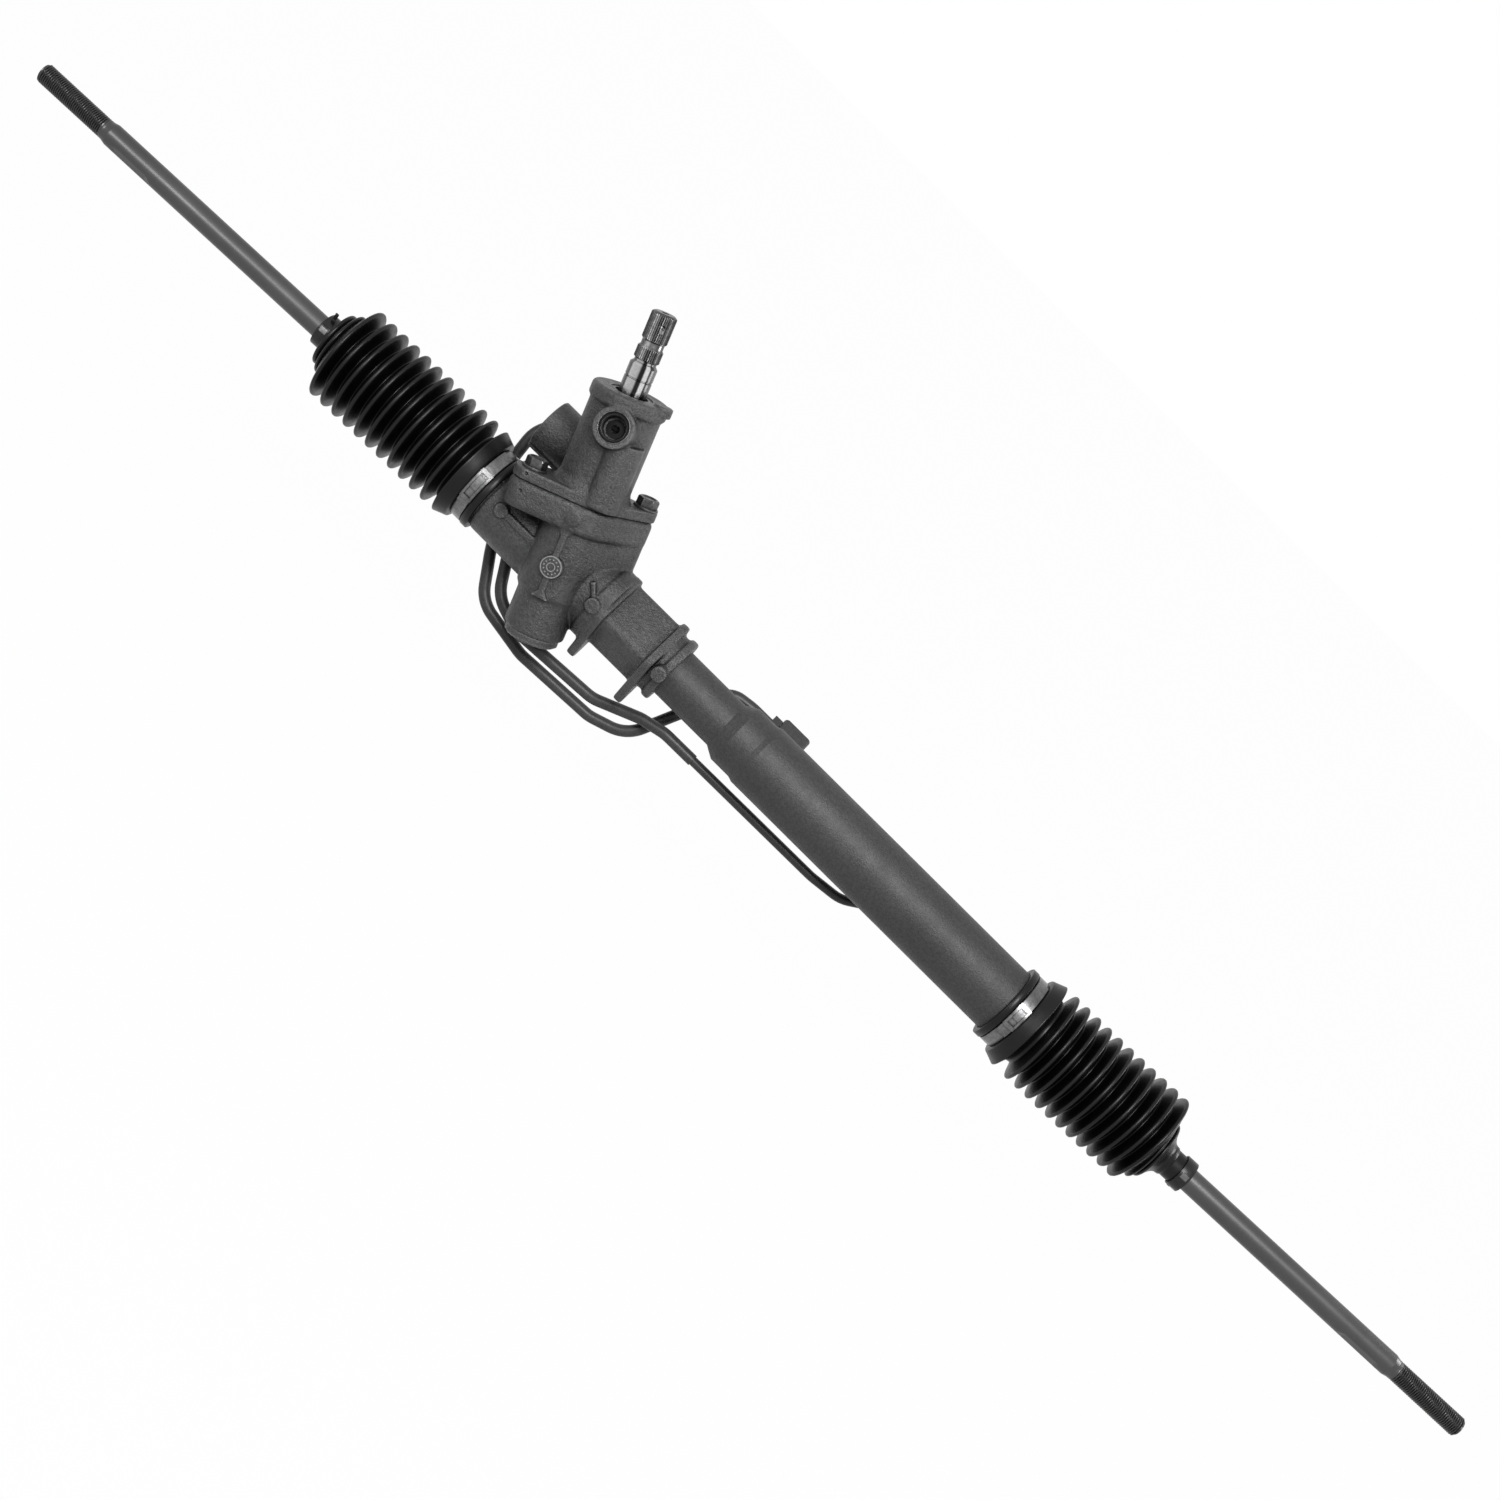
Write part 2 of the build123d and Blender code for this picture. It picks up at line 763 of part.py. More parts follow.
# The valve sleeve with four ring grooves and the oil grooves between them.
ring_heights = (66.0, 78.0, 90.0, 102.0)
ring_height = 2.0
ring_depth = 1.5
with BuildPart() as valve_sleeve:
    revolve(ring_section(pinion_section, 52, 105.5, 10.6, sleeve_radius - 0.2), axis=pinion_axis)
    revolve(
        ring_section(pinion_section, 52, head_top + 0.3, 10.6, head_radius + seat_gap),
        axis=pinion_axis,
        mode=Mode.SUBTRACT,
    )
    for middle in ring_heights:
        revolve(
            ring_section(
                pinion_section,
                middle - ring_height / 2,
                middle + ring_height / 2,
                sleeve_radius - ring_depth,
                sleeve_radius,
            ),
            axis=pinion_axis,
            mode=Mode.SUBTRACT,
        )
    for middle in (72.0, 84.0, 96.0):
        revolve(
            ring_section(pinion_section, middle - 2, middle + 2, sleeve_radius - 2, sleeve_radius),
            axis=pinion_axis,
            mode=Mode.SUBTRACT,
        )
        with BuildSketch(pinion_side.offset(-20)):
            with Locations((0, middle)):
                Circle(1.2)
        extrude(amount=40, mode=Mode.SUBTRACT)
write_part(valve_sleeve, "valve_sleeve")

with BuildPart() as sleeve_rings:
    for middle in ring_heights:
        revolve(
            ring_section(
                pinion_section,
                middle - ring_height / 2 + seat_gap,
                middle + ring_height / 2 - seat_gap,
                sleeve_radius - ring_depth + seat_gap,
                sleeve_radius,
            ),
            axis=pinion_axis,
        )
write_part(sleeve_rings, "sleeve_rings")

# ================================================================ input shaft
with BuildPart() as input_shaft:
    revolve(
        section(
            pinion_section,
            (61, 0),
            (61, 10.5),
            (104, 10.5),
            (105, 9.6),
            (112.5, 9.6),
            (113, shaft_radius),
            (136.2, shaft_radius),
            (136.8, 8.7),
            (138.2, shaft_neck_radius),
            (139.6, shaft_neck_radius),
            (140.4, spline_radius),
            (147.5, spline_radius),
            (148.9, shaft_neck_radius),
            (152.2, shaft_neck_radius),
            (spline_start, spline_radius),
            (shaft_top - 1.6, spline_radius),
            (shaft_top, 6.8),
            (shaft_top, 0),
        ),
        axis=pinion_axis,
    )
    with BuildSketch(pinion_level.offset(53.2)):
        Rectangle(9, 18.5)
    extrude(amount=9)
    revolve(
        section(
            pinion_section,
            (53, 0),
            (53, 4.2),
            (149, 4.2),
            (150, bar_radius + seat_gap),
            (shaft_top, bar_radius + seat_gap),
            (shaft_top, 0),
        ),
        axis=pinion_axis,
        mode=Mode.SUBTRACT,
    )
    with BuildSketch(pin_side.offset(-15)):
        with Locations((0, pin_top_height)):
            Circle(pin_hole)
    extrude(amount=30, mode=Mode.SUBTRACT)
write_part(input_shaft, "input_shaft")

# ================================================================ rack and piston
tooth_zone = stroke + 13.0
rack_left_x = ball_left_x + socket_shoulder + washer_thickness + seat_gap
rack_right_x = ball_right_x - socket_shoulder - washer_thickness - seat_gap
pitch_depth = pitch_radius + pinion_y
rack_tooth = normal_pitch - tooth_normal - backlash
flank = math.tan(pressure_angle)


def space_half_width(y):
    """Half the width of a space between rack teeth, at a depth y."""
    return (normal_pitch - rack_tooth) / 2 - (y - pitch_depth) * flank


space_count = 2 * int(tooth_zone / normal_pitch) + 1
with BuildPart() as rack_bar:
    revolve(ring_section(rack_section, rack_left_x, rack_right_x, 0, rack_radius), axis=Axis.X)
    with BuildSketch(Plane.XY):
        with Locations((mesh_x, rack_tip_y - rack_radius)):
            Rectangle(space_count * normal_pitch, 2 * rack_radius)
    extrude(amount=rack_radius, both=True, mode=Mode.SUBTRACT)
    tip_width = space_half_width(rack_tip_y - 0.5)
    root_width = space_half_width(rack_root_y)
    with BuildSketch(Plane.XY):
        with Locations((mesh_x, 0)), GridLocations(normal_pitch, 1, space_count, 1):
            Polygon(
                (-tip_width, rack_tip_y - 0.5),
                (tip_width, rack_tip_y - 0.5),
                (root_width, rack_root_y),
                (-root_width, rack_root_y),
                align=None,
            )
    extrude(amount=rack_radius, both=True, mode=Mode.SUBTRACT)
    hole_depth = stud_length + 2
    for start, end in (
        (rack_left_x, rack_left_x + hole_depth),
        (rack_right_x - hole_depth, rack_right_x),
    ):
        revolve(
            ring_section(rack_section, start, end, 0, stud_radius + thread_gap),
            axis=Axis.X,
            mode=Mode.SUBTRACT,
        )
write_part(rack_bar, "rack_bar")

piston_start = rack_centre_x - piston_width / 2
piston_end = rack_centre_x + piston_width / 2
with BuildPart() as piston:
    revolve(
        section(
            rack_section,
            (piston_start, rack_radius + seat_gap),
            (piston_end, rack_radius + seat_gap),
            (piston_end, piston_radius - 2.7),
            (piston_end - piston_chamfer, piston_radius),
            (rack_centre_x + 2, piston_radius),
            (rack_centre_x + 2, piston_groove_radius),
            (rack_centre_x - 2, piston_groove_radius),
            (rack_centre_x - 2, piston_radius),
            (piston_start + piston_chamfer, piston_radius),
            (piston_start, piston_radius - 2.7),
        ),
        axis=Axis.X,
    )
write_part(piston, "piston")

rack_rings = {
    # name: (start, end, inner radius, outer radius), along the rack
    "piston_ring": (
        rack_centre_x - 1.9,
        rack_centre_x + 1.9,
        piston_groove_radius + 2 * seat_gap,
        tube_bore - running_gap,
    ),
    "piston_clips": (piston_end + seat_gap, piston_end + 2, rack_radius + seat_gap, 15.0),
    "inner_rack_seal": (
        bulkhead_x + seat_gap,
        bulkhead_x + bulkhead_width,
        rack_radius + running_gap,
        tube_bore - seat_gap,
    ),
    "outer_rack_seal": (
        stopper_start_x - 7,
        stopper_start_x - seat_gap,
        rack_radius + running_gap,
        tube_bore - seat_gap,
    ),
    "cylinder_end_stopper": (
        stopper_start_x,
        stopper_end_x,
        rack_radius + 2,
        tube_bore - seat_gap,
    ),
    "rack_bushing": (
        stopper_start_x + 8,
        stopper_start_x + 38,
        rack_radius + running_gap,
        rack_radius + 2 - seat_gap,
    ),
    "stopper_ring": (
        stopper_end_x + seat_gap,
        stopper_end_x + 2.5,
        tube_bore - 3,
        tube_bore - seat_gap,
    ),
}
for name, (start, end, inner, outer) in rack_rings.items():
    with BuildPart() as rack_ring:
        revolve(ring_section(rack_section, start, end, inner, outer), axis=Axis.X)
    write_part(rack_ring, name)

# ================================================================ rack guide
with BuildPart() as rack_guide:
    revolve(ring_section(guide_section, 3, 27, 0, yoke_radius - seat_gap), axis=guide_axis)
    revolve(ring_section(guide_section, 17, 27, 0, 9), axis=guide_axis, mode=Mode.SUBTRACT)
    revolve(
        ring_section(rack_section, mesh_x - 20, mesh_x + 20, 0, rack_radius + 1.5),
        axis=Axis.X,
        mode=Mode.SUBTRACT,
    )
write_part(rack_guide, "rack_guide")

with BuildPart() as rack_guide_liner:
    revolve(
        ring_section(
            rack_section,
            mesh_x - 9,
            mesh_x + 9,
            rack_radius + running_gap,
            rack_radius + 1.5 - seat_gap,
        ),
        axis=Axis.X,
    )
    with BuildSketch(Plane.XZ.offset(-4.5)):
        with Locations((mesh_x, 0)):
            Rectangle(60, 60)
    extrude(amount=60, mode=Mode.SUBTRACT)
write_part(rack_guide_liner, "rack_guide_liner")

spring_turns = 2.5
spring_wire = 2.2
with BuildPart() as guide_spring:
    with BuildLine() as coil:
        Helix(
            pitch=4.8,
            height=4.8 * spring_turns,
            radius=6.5,
            center=(mesh_x, 17 + spring_wire / 2 + seat_gap, 0),
            direction=(0, 1, 0),
        )
    with BuildSketch(Plane(coil.line @ 0, z_dir=coil.line % 0)):
        Rectangle(spring_wire, spring_wire)
    sweep(path=coil.line)
write_part(guide_spring, "guide_spring")

with BuildPart() as guide_adjuster:
    revolve(ring_section(guide_section, 31.8, 46, 0, yoke_radius - thread_gap), axis=guide_axis)
    with BuildSketch(Plane.XZ.offset(-46)):
        with Locations((mesh_x, 0)):
            RegularPolygon(8, 6)
    extrude(amount=8, mode=Mode.SUBTRACT)
write_part(guide_adjuster, "guide_adjuster")

with BuildPart() as guide_locknut:
    with BuildSketch(Plane.XZ.offset(-yoke_boss_end_y - 7)):
        with Locations((mesh_x, 0)):
            RegularPolygon(23, 6)
            Circle(yoke_radius, mode=Mode.SUBTRACT)
    extrude(amount=7 - seat_gap)
write_part(guide_locknut, "guide_locknut")

# ================================================================ tie rods, left and right
mouth_depth = 7.0
sides = {
    # name: (way outwards, ball centre, rod length, boot lip, ring pitch, cuff start, cuff end)
    "left": (-1, ball_left_x, rod_tip_left, left_shoulder_x - 0.5, 9.75, 41.0, 50.0),
    "right": (1, ball_right_x, rod_tip_right, 331.0, 9.1, 34.0, 50.5),
}
for side, (way, ball_x, rod_tip, lip_x, ring_pitch, cuff_start, cuff_end) in sides.items():
    # Along the rack, outwards from the ball's centre.
    outwards = Plane((ball_x, 0, 0), x_dir=(way, 0, 0), z_dir=(0, 0, 1))
    ball_axis = Axis((ball_x, 0, 0), (1, 0, 0))
    droop = math.radians(rod_droop)
    rod_direction = Vector(way * math.cos(droop), 0, way * math.sin(droop))
    along_rod = Plane((ball_x, 0, 0), x_dir=rod_direction, z_dir=(0, -1, 0))
    rod_axis = Axis((ball_x, 0, 0), rod_direction)

    with BuildPart() as tie_rod:
        revolve(
            section(
                along_rod,
                (6, 0),
                (6, 6),
                (18, 6),
                (25, rod_radius),
                (rod_tip - rod_thread_length - 4, rod_radius),
                (rod_tip - rod_thread_length, rod_thread_radius),
                (rod_tip - 1.5, rod_thread_radius),
                (rod_tip, rod_thread_radius - 1.5),
                (rod_tip, 0),
            ),
            axis=rod_axis,
        )
        with Locations((ball_x, 0, 0)):
            Sphere(ball_radius)
        flat_middle = rod_tip - rod_thread_length - flat_setback - flat_length / 2
        for height in (flat_height + 5, -flat_height - 5):
            with BuildSketch(along_rod):
                with Locations((flat_middle, height)):
                    Rectangle(flat_length, 10)
            extrude(amount=rod_radius, both=True, mode=Mode.SUBTRACT)
    write_part(tie_rod, f"{side}_tie_rod")

    with BuildPart() as socket:
        revolve(
            section(
                outwards,
                (-socket_shoulder - stud_length, 0),
                (-socket_shoulder - stud_length, stud_radius),
                (-socket_shoulder, stud_radius),
                (-socket_shoulder, socket_radius - 1),
                (1 - socket_shoulder, socket_radius),
                (4, socket_radius),
                (10.5, 14.2),
                (10.5, 12.4),
                (mouth_depth, 10.6),
                (mouth_depth, 0),
            ),
            axis=ball_axis,
        )
        with Locations((ball_x, 0, 0)):
            Sphere(ball_radius + liner_wall + running_gap, mode=Mode.SUBTRACT)
    write_part(socket, f"{side}_socket")

    with BuildPart() as ball_seat:
        with Locations((ball_x, 0, 0)):
            Sphere(ball_radius + liner_wall)
            Sphere(ball_radius + running_gap, mode=Mode.SUBTRACT)
        revolve(
            ring_section(outwards, 2, 20, 0, 20),
            axis=ball_axis,
            mode=Mode.SUBTRACT,
        )
    write_part(ball_seat, f"{side}_ball_seat")

    with BuildPart() as lock_washer:
        revolve(
            ring_section(
                outwards,
                -socket_shoulder - washer_thickness,
                -socket_shoulder - seat_gap,
                stud_radius + seat_gap,
                rack_radius + 2.5,
            ),
            axis=ball_axis,
        )
    write_part(lock_washer, f"{side}_lock_washer")

    # The boot: lip, band groove, collar, rings, and a cone down to the cuff on the rod.
    lip_plane = Plane((lip_x, 0, 0), x_dir=(way, 0, 0), z_dir=(0, 0, 1))
    ring_start = 33.0
    outline = [
        (0, tube_radius + seat_gap),
        (0, lip_radius),
        (5, lip_radius),
        (5, 26.4),
        (14, 26.4),
        (14.5, 31.5),
        (23, boot_crest),
        (27.5, boot_valley),
    ]
    for ring in range(ring_count):
        crest = ring_start + ring * ring_pitch
        outline += [
            (crest - 1, boot_crest),
            (crest + 1, boot_crest),
            (crest + ring_pitch / 2, boot_valley),
        ]
    last_crest = ring_start + (ring_count - 1) * ring_pitch
    outline[-1] = (last_crest + 5, 26)
    outline += [(last_crest + 5, 23), (28, 23.6), (24, 24.5), (15, tube_radius + seat_gap)]
    cone_start = (lip_x - ball_x) * way + last_crest + 3
    with BuildPart() as boot:
        revolve(section(lip_plane, *outline), axis=Axis.X)
        revolve(
            section(
                along_rod,
                (cone_start, 23.3),
                (cone_start, 27),
                (cone_start + 3, 24),
                (cuff_start - 6, 20),
                (cuff_start, clip_radius),
                (cuff_end, clip_radius),
                (cuff_end, rod_radius + soft_gap),
                (cuff_start, rod_radius + soft_gap),
                (cuff_start - 5, 17),
            ),
            axis=rod_axis,
        )
    write_part(boot, f"{side}_boot")

    with BuildPart() as boot_band:
        revolve(
            ring_section(lip_plane, 5.5, 5.5 + band_width, 26.4 + seat_gap, band_radius),
            axis=Axis.X,
        )
        ear = Plane((lip_x + way * 9.5, -band_radius + 0.5, 0), x_dir=(1, 0, 0), z_dir=(0, -1, 0))
        with BuildSketch(ear):
            with Locations((0, 6)):
                Rectangle(band_width - 1, 9)
        extrude(amount=2.5)
    write_part(boot_band, f"{side}_boot_band")

    with BuildPart() as cuff_clip:
        clip_end = cuff_end - clip_setback
        revolve(
            ring_section(
                along_rod,
                clip_end - clip_width,
                clip_end,
                clip_radius + soft_gap,
                clip_radius + soft_gap + 1.2,
            ),
            axis=rod_axis,
        )
    write_part(cuff_clip, f"{side}_cuff_clip")

# ================================================================ cylinder lines
line_ends = {
    name: (port_x + nut_thread_length, out_y * port_radius_from_axis, out_z * port_radius_from_axis)
    for name, (port_x, out_y, out_z) in line_ports.items()
}
near_end = line_ends["near"]
far_end = line_ends["far"]
line_routes = {
    "near_line": [
        (near_line_start[0], line_start_y, near_line_start[1]),
        (-112, 54, 60),
        (-142, 50, 42),
        (-139, 44, 10),
        (-106, 28, -39),
        (-88, 22, -64),
        (-46, 21, -71),
        (14, 21, -68),
        (40, 23, -60),
        (56, 30, -24),
        (70, 27, 10),
        (near_port_x - 20, near_end[1], near_end[2]),
        near_end,
    ],
    "far_line": [
        (far_line_start[0], line_start_y, far_line_start[1]),
        (-94, 53, 52),
        (-108, 46, 22),
        (-98, 26, -28),
        (-82, 18, -52),
        (-58, 16, -60),
        (8, 16, -56),
        (40, 15, -42),
        (58, 14, -37.5),
        (190, 14, -36.5),
        (214, 18, -35),
        (238, 28, -22),
        (far_port_x - 22, far_end[1], far_end[2]),
        far_end,
    ],
}


def bend_radii(points, largest):
    """A bend radius for each corner: its runs allow it, and the nuts stay on straight tube."""
    runs = [Vector(*end) - Vector(*start) for start, end in zip(points, points[1:])]
    room = [0.45 * run.length for run in runs]
    for end in (0, -1):
        room[end] = min(room[end], runs[end].length - nut_thread_length - nut_hex_length - 1)
    radii = []
    for i in range(len(runs) - 1):
        half_turn = math.radians(runs[i].get_angle(runs[i + 1])) / 2
        radii.append(min(largest, min(room[i], room[i + 1]) / math.tan(half_turn)))
    return radii


def tube_along(points, radii, outer, inner=None):
    """A round tube along a route of straight runs and tangent bends."""
    with BuildLine() as route:
        FilletPolyline(*points, radius=radii)
    with BuildPart() as tube:
        with BuildSketch(Plane(route.line @ 0, z_dir=route.line % 0)) as tube_face:
            Circle(outer)
            if inner:
                Circle(inner, mode=Mode.SUBTRACT)
        sweep(tube_face.sketch, path=route.line)
    return tube


near_route = line_routes["near_line"]
near_line = tube_along(near_route, bend_radii(near_route, largest_bend), pipe_radius)
write_part(near_line, "near_line")
far_route = line_routes["far_line"]
far_radii = bend_radii(far_route, largest_bend)
far_line = tube_along(far_route, far_radii, line_radius)
write_part(far_line, "far_line")

# A sleeve covers the thin line from its first nut to a place under the tube.
first_run = (Vector(*far_route[1]) - Vector(*far_route[0])).normalized()
sleeve_start = Vector(*far_route[0]) + first_run * (nut_thread_length + nut_hex_length + 1)
last_run = Vector(*far_route[9]) - Vector(*far_route[8])
sleeve_end = Vector(*far_route[8]) + last_run * ((sleeve_end_x - far_route[8][0]) / last_run.X)
far_line_sleeve = tube_along(
    [tuple(sleeve_start), *far_route[1:9], tuple(sleeve_end)],
    far_radii[:8],
    pipe_radius,
    line_radius + seat_gap,
)
write_part(far_line_sleeve, "far_line_sleeve")

nut_places = {
    "near_start": (near_route[0], near_route[1], pipe_radius),
    "near_end": (near_end, near_route[-2], pipe_radius),
    "far_start": (far_route[0], far_route[1], line_radius),
    "far_end": (far_end, far_route[-2], line_radius),
}
with BuildPart() as flare_nuts:
    for bottom, toward, hole in nut_places.values():
        away = (Vector(*toward) - Vector(*bottom)).normalized()
        nut_plane = Plane(bottom, z_dir=away)
        with BuildSketch(nut_plane):
            Circle(nut_thread_radius)
            Circle(hole + seat_gap, mode=Mode.SUBTRACT)
        extrude(amount=nut_thread_length)
        with BuildSketch(nut_plane.offset(nut_thread_length + seat_gap)):
            RegularPolygon(nut_hex_radius, 6)
            Circle(hole + seat_gap, mode=Mode.SUBTRACT)
        extrude(amount=nut_hex_length)
write_part(flare_nuts, "flare_nuts")
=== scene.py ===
import json
import math
import bpy
import bmesh
import numpy as np
from mathutils import Matrix, Vector


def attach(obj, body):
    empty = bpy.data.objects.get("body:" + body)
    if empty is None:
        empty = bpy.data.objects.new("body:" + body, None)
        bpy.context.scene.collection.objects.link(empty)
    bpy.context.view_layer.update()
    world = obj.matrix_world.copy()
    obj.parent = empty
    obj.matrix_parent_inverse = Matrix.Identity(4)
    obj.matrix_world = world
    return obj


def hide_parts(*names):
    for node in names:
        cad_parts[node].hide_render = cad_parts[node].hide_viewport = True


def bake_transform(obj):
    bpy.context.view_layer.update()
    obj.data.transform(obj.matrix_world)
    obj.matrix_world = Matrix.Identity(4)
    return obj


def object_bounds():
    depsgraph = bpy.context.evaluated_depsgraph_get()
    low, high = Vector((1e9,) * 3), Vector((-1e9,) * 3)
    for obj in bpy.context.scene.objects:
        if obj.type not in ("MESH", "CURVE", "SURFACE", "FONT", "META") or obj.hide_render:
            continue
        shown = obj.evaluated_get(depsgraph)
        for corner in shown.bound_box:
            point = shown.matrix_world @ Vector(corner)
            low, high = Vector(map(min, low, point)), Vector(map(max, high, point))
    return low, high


# The looks of a hydraulic steering gear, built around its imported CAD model. Metres, +X along
# the rack towards the power cylinder, +Z up in the plane of the leaning pinion.

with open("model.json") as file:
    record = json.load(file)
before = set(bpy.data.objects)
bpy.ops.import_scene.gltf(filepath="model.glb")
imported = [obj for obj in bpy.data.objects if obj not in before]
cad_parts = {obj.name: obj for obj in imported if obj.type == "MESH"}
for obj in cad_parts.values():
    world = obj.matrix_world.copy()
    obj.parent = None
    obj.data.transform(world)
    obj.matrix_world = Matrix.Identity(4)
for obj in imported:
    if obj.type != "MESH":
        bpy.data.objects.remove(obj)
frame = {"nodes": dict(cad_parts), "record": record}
cad_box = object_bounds()
MM = 0.001

# ---------------------------------------------------------------- places, in millimetres
LEAN = math.radians(19.6)
PINION_X = -61.7
PINION_FOOT = Vector((PINION_X, -13.743, 0))
PINION_UP = Vector((-math.sin(LEAN), 0, math.cos(LEAN)))
BALLS = {"left": Vector((-228, 0, 0)), "right": Vector((443, 0, 0))}
WAYS = {"left": -1, "right": 1}
ROD_TILT = math.radians(2.25)
# How far each rod reaches from its ball, and where each boot's lip is along X.
ROD_TIPS = {"left": 292.0, "right": 284.0}
LIPS = {"left": -124.0, "right": 331.0}
FRONT = Vector((0, -1, 0))
PINION_ACROSS = Vector((math.cos(LEAN), 0, math.sin(LEAN)))
PORT_SWING = math.radians(-4)
PORT_RISE = math.radians(15)
PORT_WAY = Vector((math.cos(PORT_RISE) * math.sin(PORT_SWING),
                   -math.cos(PORT_RISE) * math.cos(PORT_SWING), math.sin(PORT_RISE)))
PORT_FOOT = PINION_FOOT + PINION_UP * 93.5 + PINION_ACROSS * 3


def rod_way(side):
    """Outwards along a tie rod at rest: the left one points a little down, the right one up."""
    way = WAYS[side]
    return Vector((way * math.cos(ROD_TILT), 0, way * math.sin(ROD_TILT)))


def by_pinion(height, across, front):
    """A place by the pinion: along its axis, across it, and in front of it."""
    return PINION_FOOT + PINION_UP * height + PINION_ACROSS * across + FRONT * front


# ---------------------------------------------------------------- materials
def noise(tree, scale, detail=4.0, roughness=0.55):
    """A noise texture in object space, its scale in cycles per metre."""
    coords = tree.nodes.new("ShaderNodeTexCoord")
    texture = tree.nodes.new("ShaderNodeTexNoise")
    texture.inputs["Scale"].default_value = scale
    texture.inputs["Detail"].default_value = detail
    texture.inputs["Roughness"].default_value = roughness
    tree.links.new(coords.outputs["Object"], texture.inputs["Vector"])
    return texture.outputs["Fac"]


# The sockets of a Mix node that mixes colours.
MIX_FACTOR = 0
MIX_FIRST = 6
MIX_SECOND = 7
MIX_RESULT = 2


def rgba(colour):
    """A grey or a colour with its alpha."""
    return (*colour, 1) if isinstance(colour, tuple) else (colour, colour, colour, 1)


def ramp(tree, factor, stops):
    """A colour ramp over a factor; stops are (place, grey or colour)."""
    node = tree.nodes.new("ShaderNodeValToRGB")
    node.color_ramp.elements.remove(node.color_ramp.elements[1])
    for index, (place, colour) in enumerate(stops):
        if index == 0:
            element = node.color_ramp.elements[0]
            element.position = place
        else:
            element = node.color_ramp.elements.new(place)
        element.color = rgba(colour)
    tree.links.new(factor, node.inputs["Fac"])
    return node.outputs["Color"]


def mixed(tree, kind, factor, first, second):
    """Two colours mixed; a number stands for a plain factor or a grey."""
    node = tree.nodes.new("ShaderNodeMix")
    node.data_type = "RGBA"
    node.blend_type = kind
    if isinstance(factor, float):
        node.inputs[MIX_FACTOR].default_value = factor
    else:
        tree.links.new(factor, node.inputs[MIX_FACTOR])
    for socket, value in ((MIX_FIRST, first), (MIX_SECOND, second)):
        if isinstance(value, bpy.types.NodeSocket):
            tree.links.new(value, node.inputs[socket])
        else:
            node.inputs[socket].default_value = rgba(value)
    return node.outputs[MIX_RESULT]


def openness(tree, reach, inside=False):
    """How open the surface is within reach, in mm: low in hollows, or inside, at sharp edges."""
    node = tree.nodes.new("ShaderNodeAmbientOcclusion")
    node.samples = 4
    node.inside = inside
    node.only_local = True
    node.inputs["Distance"].default_value = reach * MM
    return node.outputs["AO"]


SPECK_SCALE = 480


def surface(name, dark, light, mottle, rough, bumps, metallic=0.0, specular=0.5, wear_and_highlight=None,
            painted_hollow_shade=(), grain=0.72, painted_reflection_bands=None):
    """A procedural finish. dark, light and the colour of wear_and_highlight are greys or colours.
    mottle is the scale of the colour patches; rough is (low, high); bumps are (scale per metre,
    depth in mm); wear_and_highlight is (colour, reach in mm) on sharp edges, partly worn paint
    and partly a painted highlight; painted_hollow_shade is (shade, reach in mm) of painted
    shade in hollows; grain is how dark the finest specks are; painted_reflection_bands are
    (degrees round the pinion from the front, shade) of painted reflections, light and dark
    bands along it."""
    made = bpy.data.materials.new(name)
    made.use_nodes = True
    tree = made.node_tree
    shader = tree.nodes["Principled BSDF"]
    shader.inputs["Metallic"].default_value = metallic
    shader.inputs["Specular IOR Level"].default_value = specular
    patches = noise(tree, mottle, 5.0, 0.6)
    colour = ramp(tree, patches, [(0.3, dark), (0.7, light)])
    specks = noise(tree, SPECK_SCALE, 4.0, 0.65)
    colour = mixed(tree, "MULTIPLY", 1.0, colour, ramp(tree, specks, [(0.36, grain), (0.6, 1.0)]))
    # Painted reflections: light and dark bands round the pinion, fixed to the shaft.
    if painted_reflection_bands:
        coords = tree.nodes.new("ShaderNodeTexCoord")
        seat = tree.nodes.new("ShaderNodeMapping")
        seat.vector_type = "TEXTURE"
        seat.inputs["Location"].default_value = PINION_FOOT * MM
        seat.inputs["Rotation"].default_value = (0, -LEAN, 0)
        tree.links.new(coords.outputs["Object"], seat.inputs["Vector"])
        around = tree.nodes.new("ShaderNodeTexGradient")
        around.gradient_type = "RADIAL"
        tree.links.new(seat.outputs["Vector"], around.inputs["Vector"])
        stops = [((degrees + 90) / 360, shade) for degrees, shade in painted_reflection_bands]
        colour = mixed(tree, "MULTIPLY", 1.0, colour, ramp(tree, around.outputs["Fac"], stops))
    # Painted shade: darker in hollows and between parts, by how open the surface is.
    for shade, reach in painted_hollow_shade:
        shade = ramp(tree, openness(tree, reach), [(0.5, shade), (0.93, 1.0)])
        colour = mixed(tree, "MULTIPLY", 1.0, colour, shade)
    # Lighter on sharp edges: partly worn paint and partly a painted highlight.
    if wear_and_highlight:
        highlight_and_wear_mask = ramp(tree, openness(tree, wear_and_highlight[1], True), [(0.5, 1.0), (0.85, 0.0)])
        colour = mixed(tree, "MIX", highlight_and_wear_mask, colour, wear_and_highlight[0])
    tree.links.new(colour, shader.inputs["Base Color"])
    roughness = ramp(tree, noise(tree, mottle * 5, 4.0), [(0.3, rough[0]), (0.7, rough[1])])
    tree.links.new(roughness, shader.inputs["Roughness"])
    normal = None
    for scale, depth in bumps:
        bump = tree.nodes.new("ShaderNodeBump")
        bump.inputs["Distance"].default_value = depth * MM
        tree.links.new(noise(tree, scale, 3.0, 0.6), bump.inputs["Height"])
        if normal:
            tree.links.new(normal, bump.inputs["Normal"])
        normal = bump.outputs["Normal"]
    if normal:
        tree.links.new(normal, shader.inputs["Normal"])
    return made
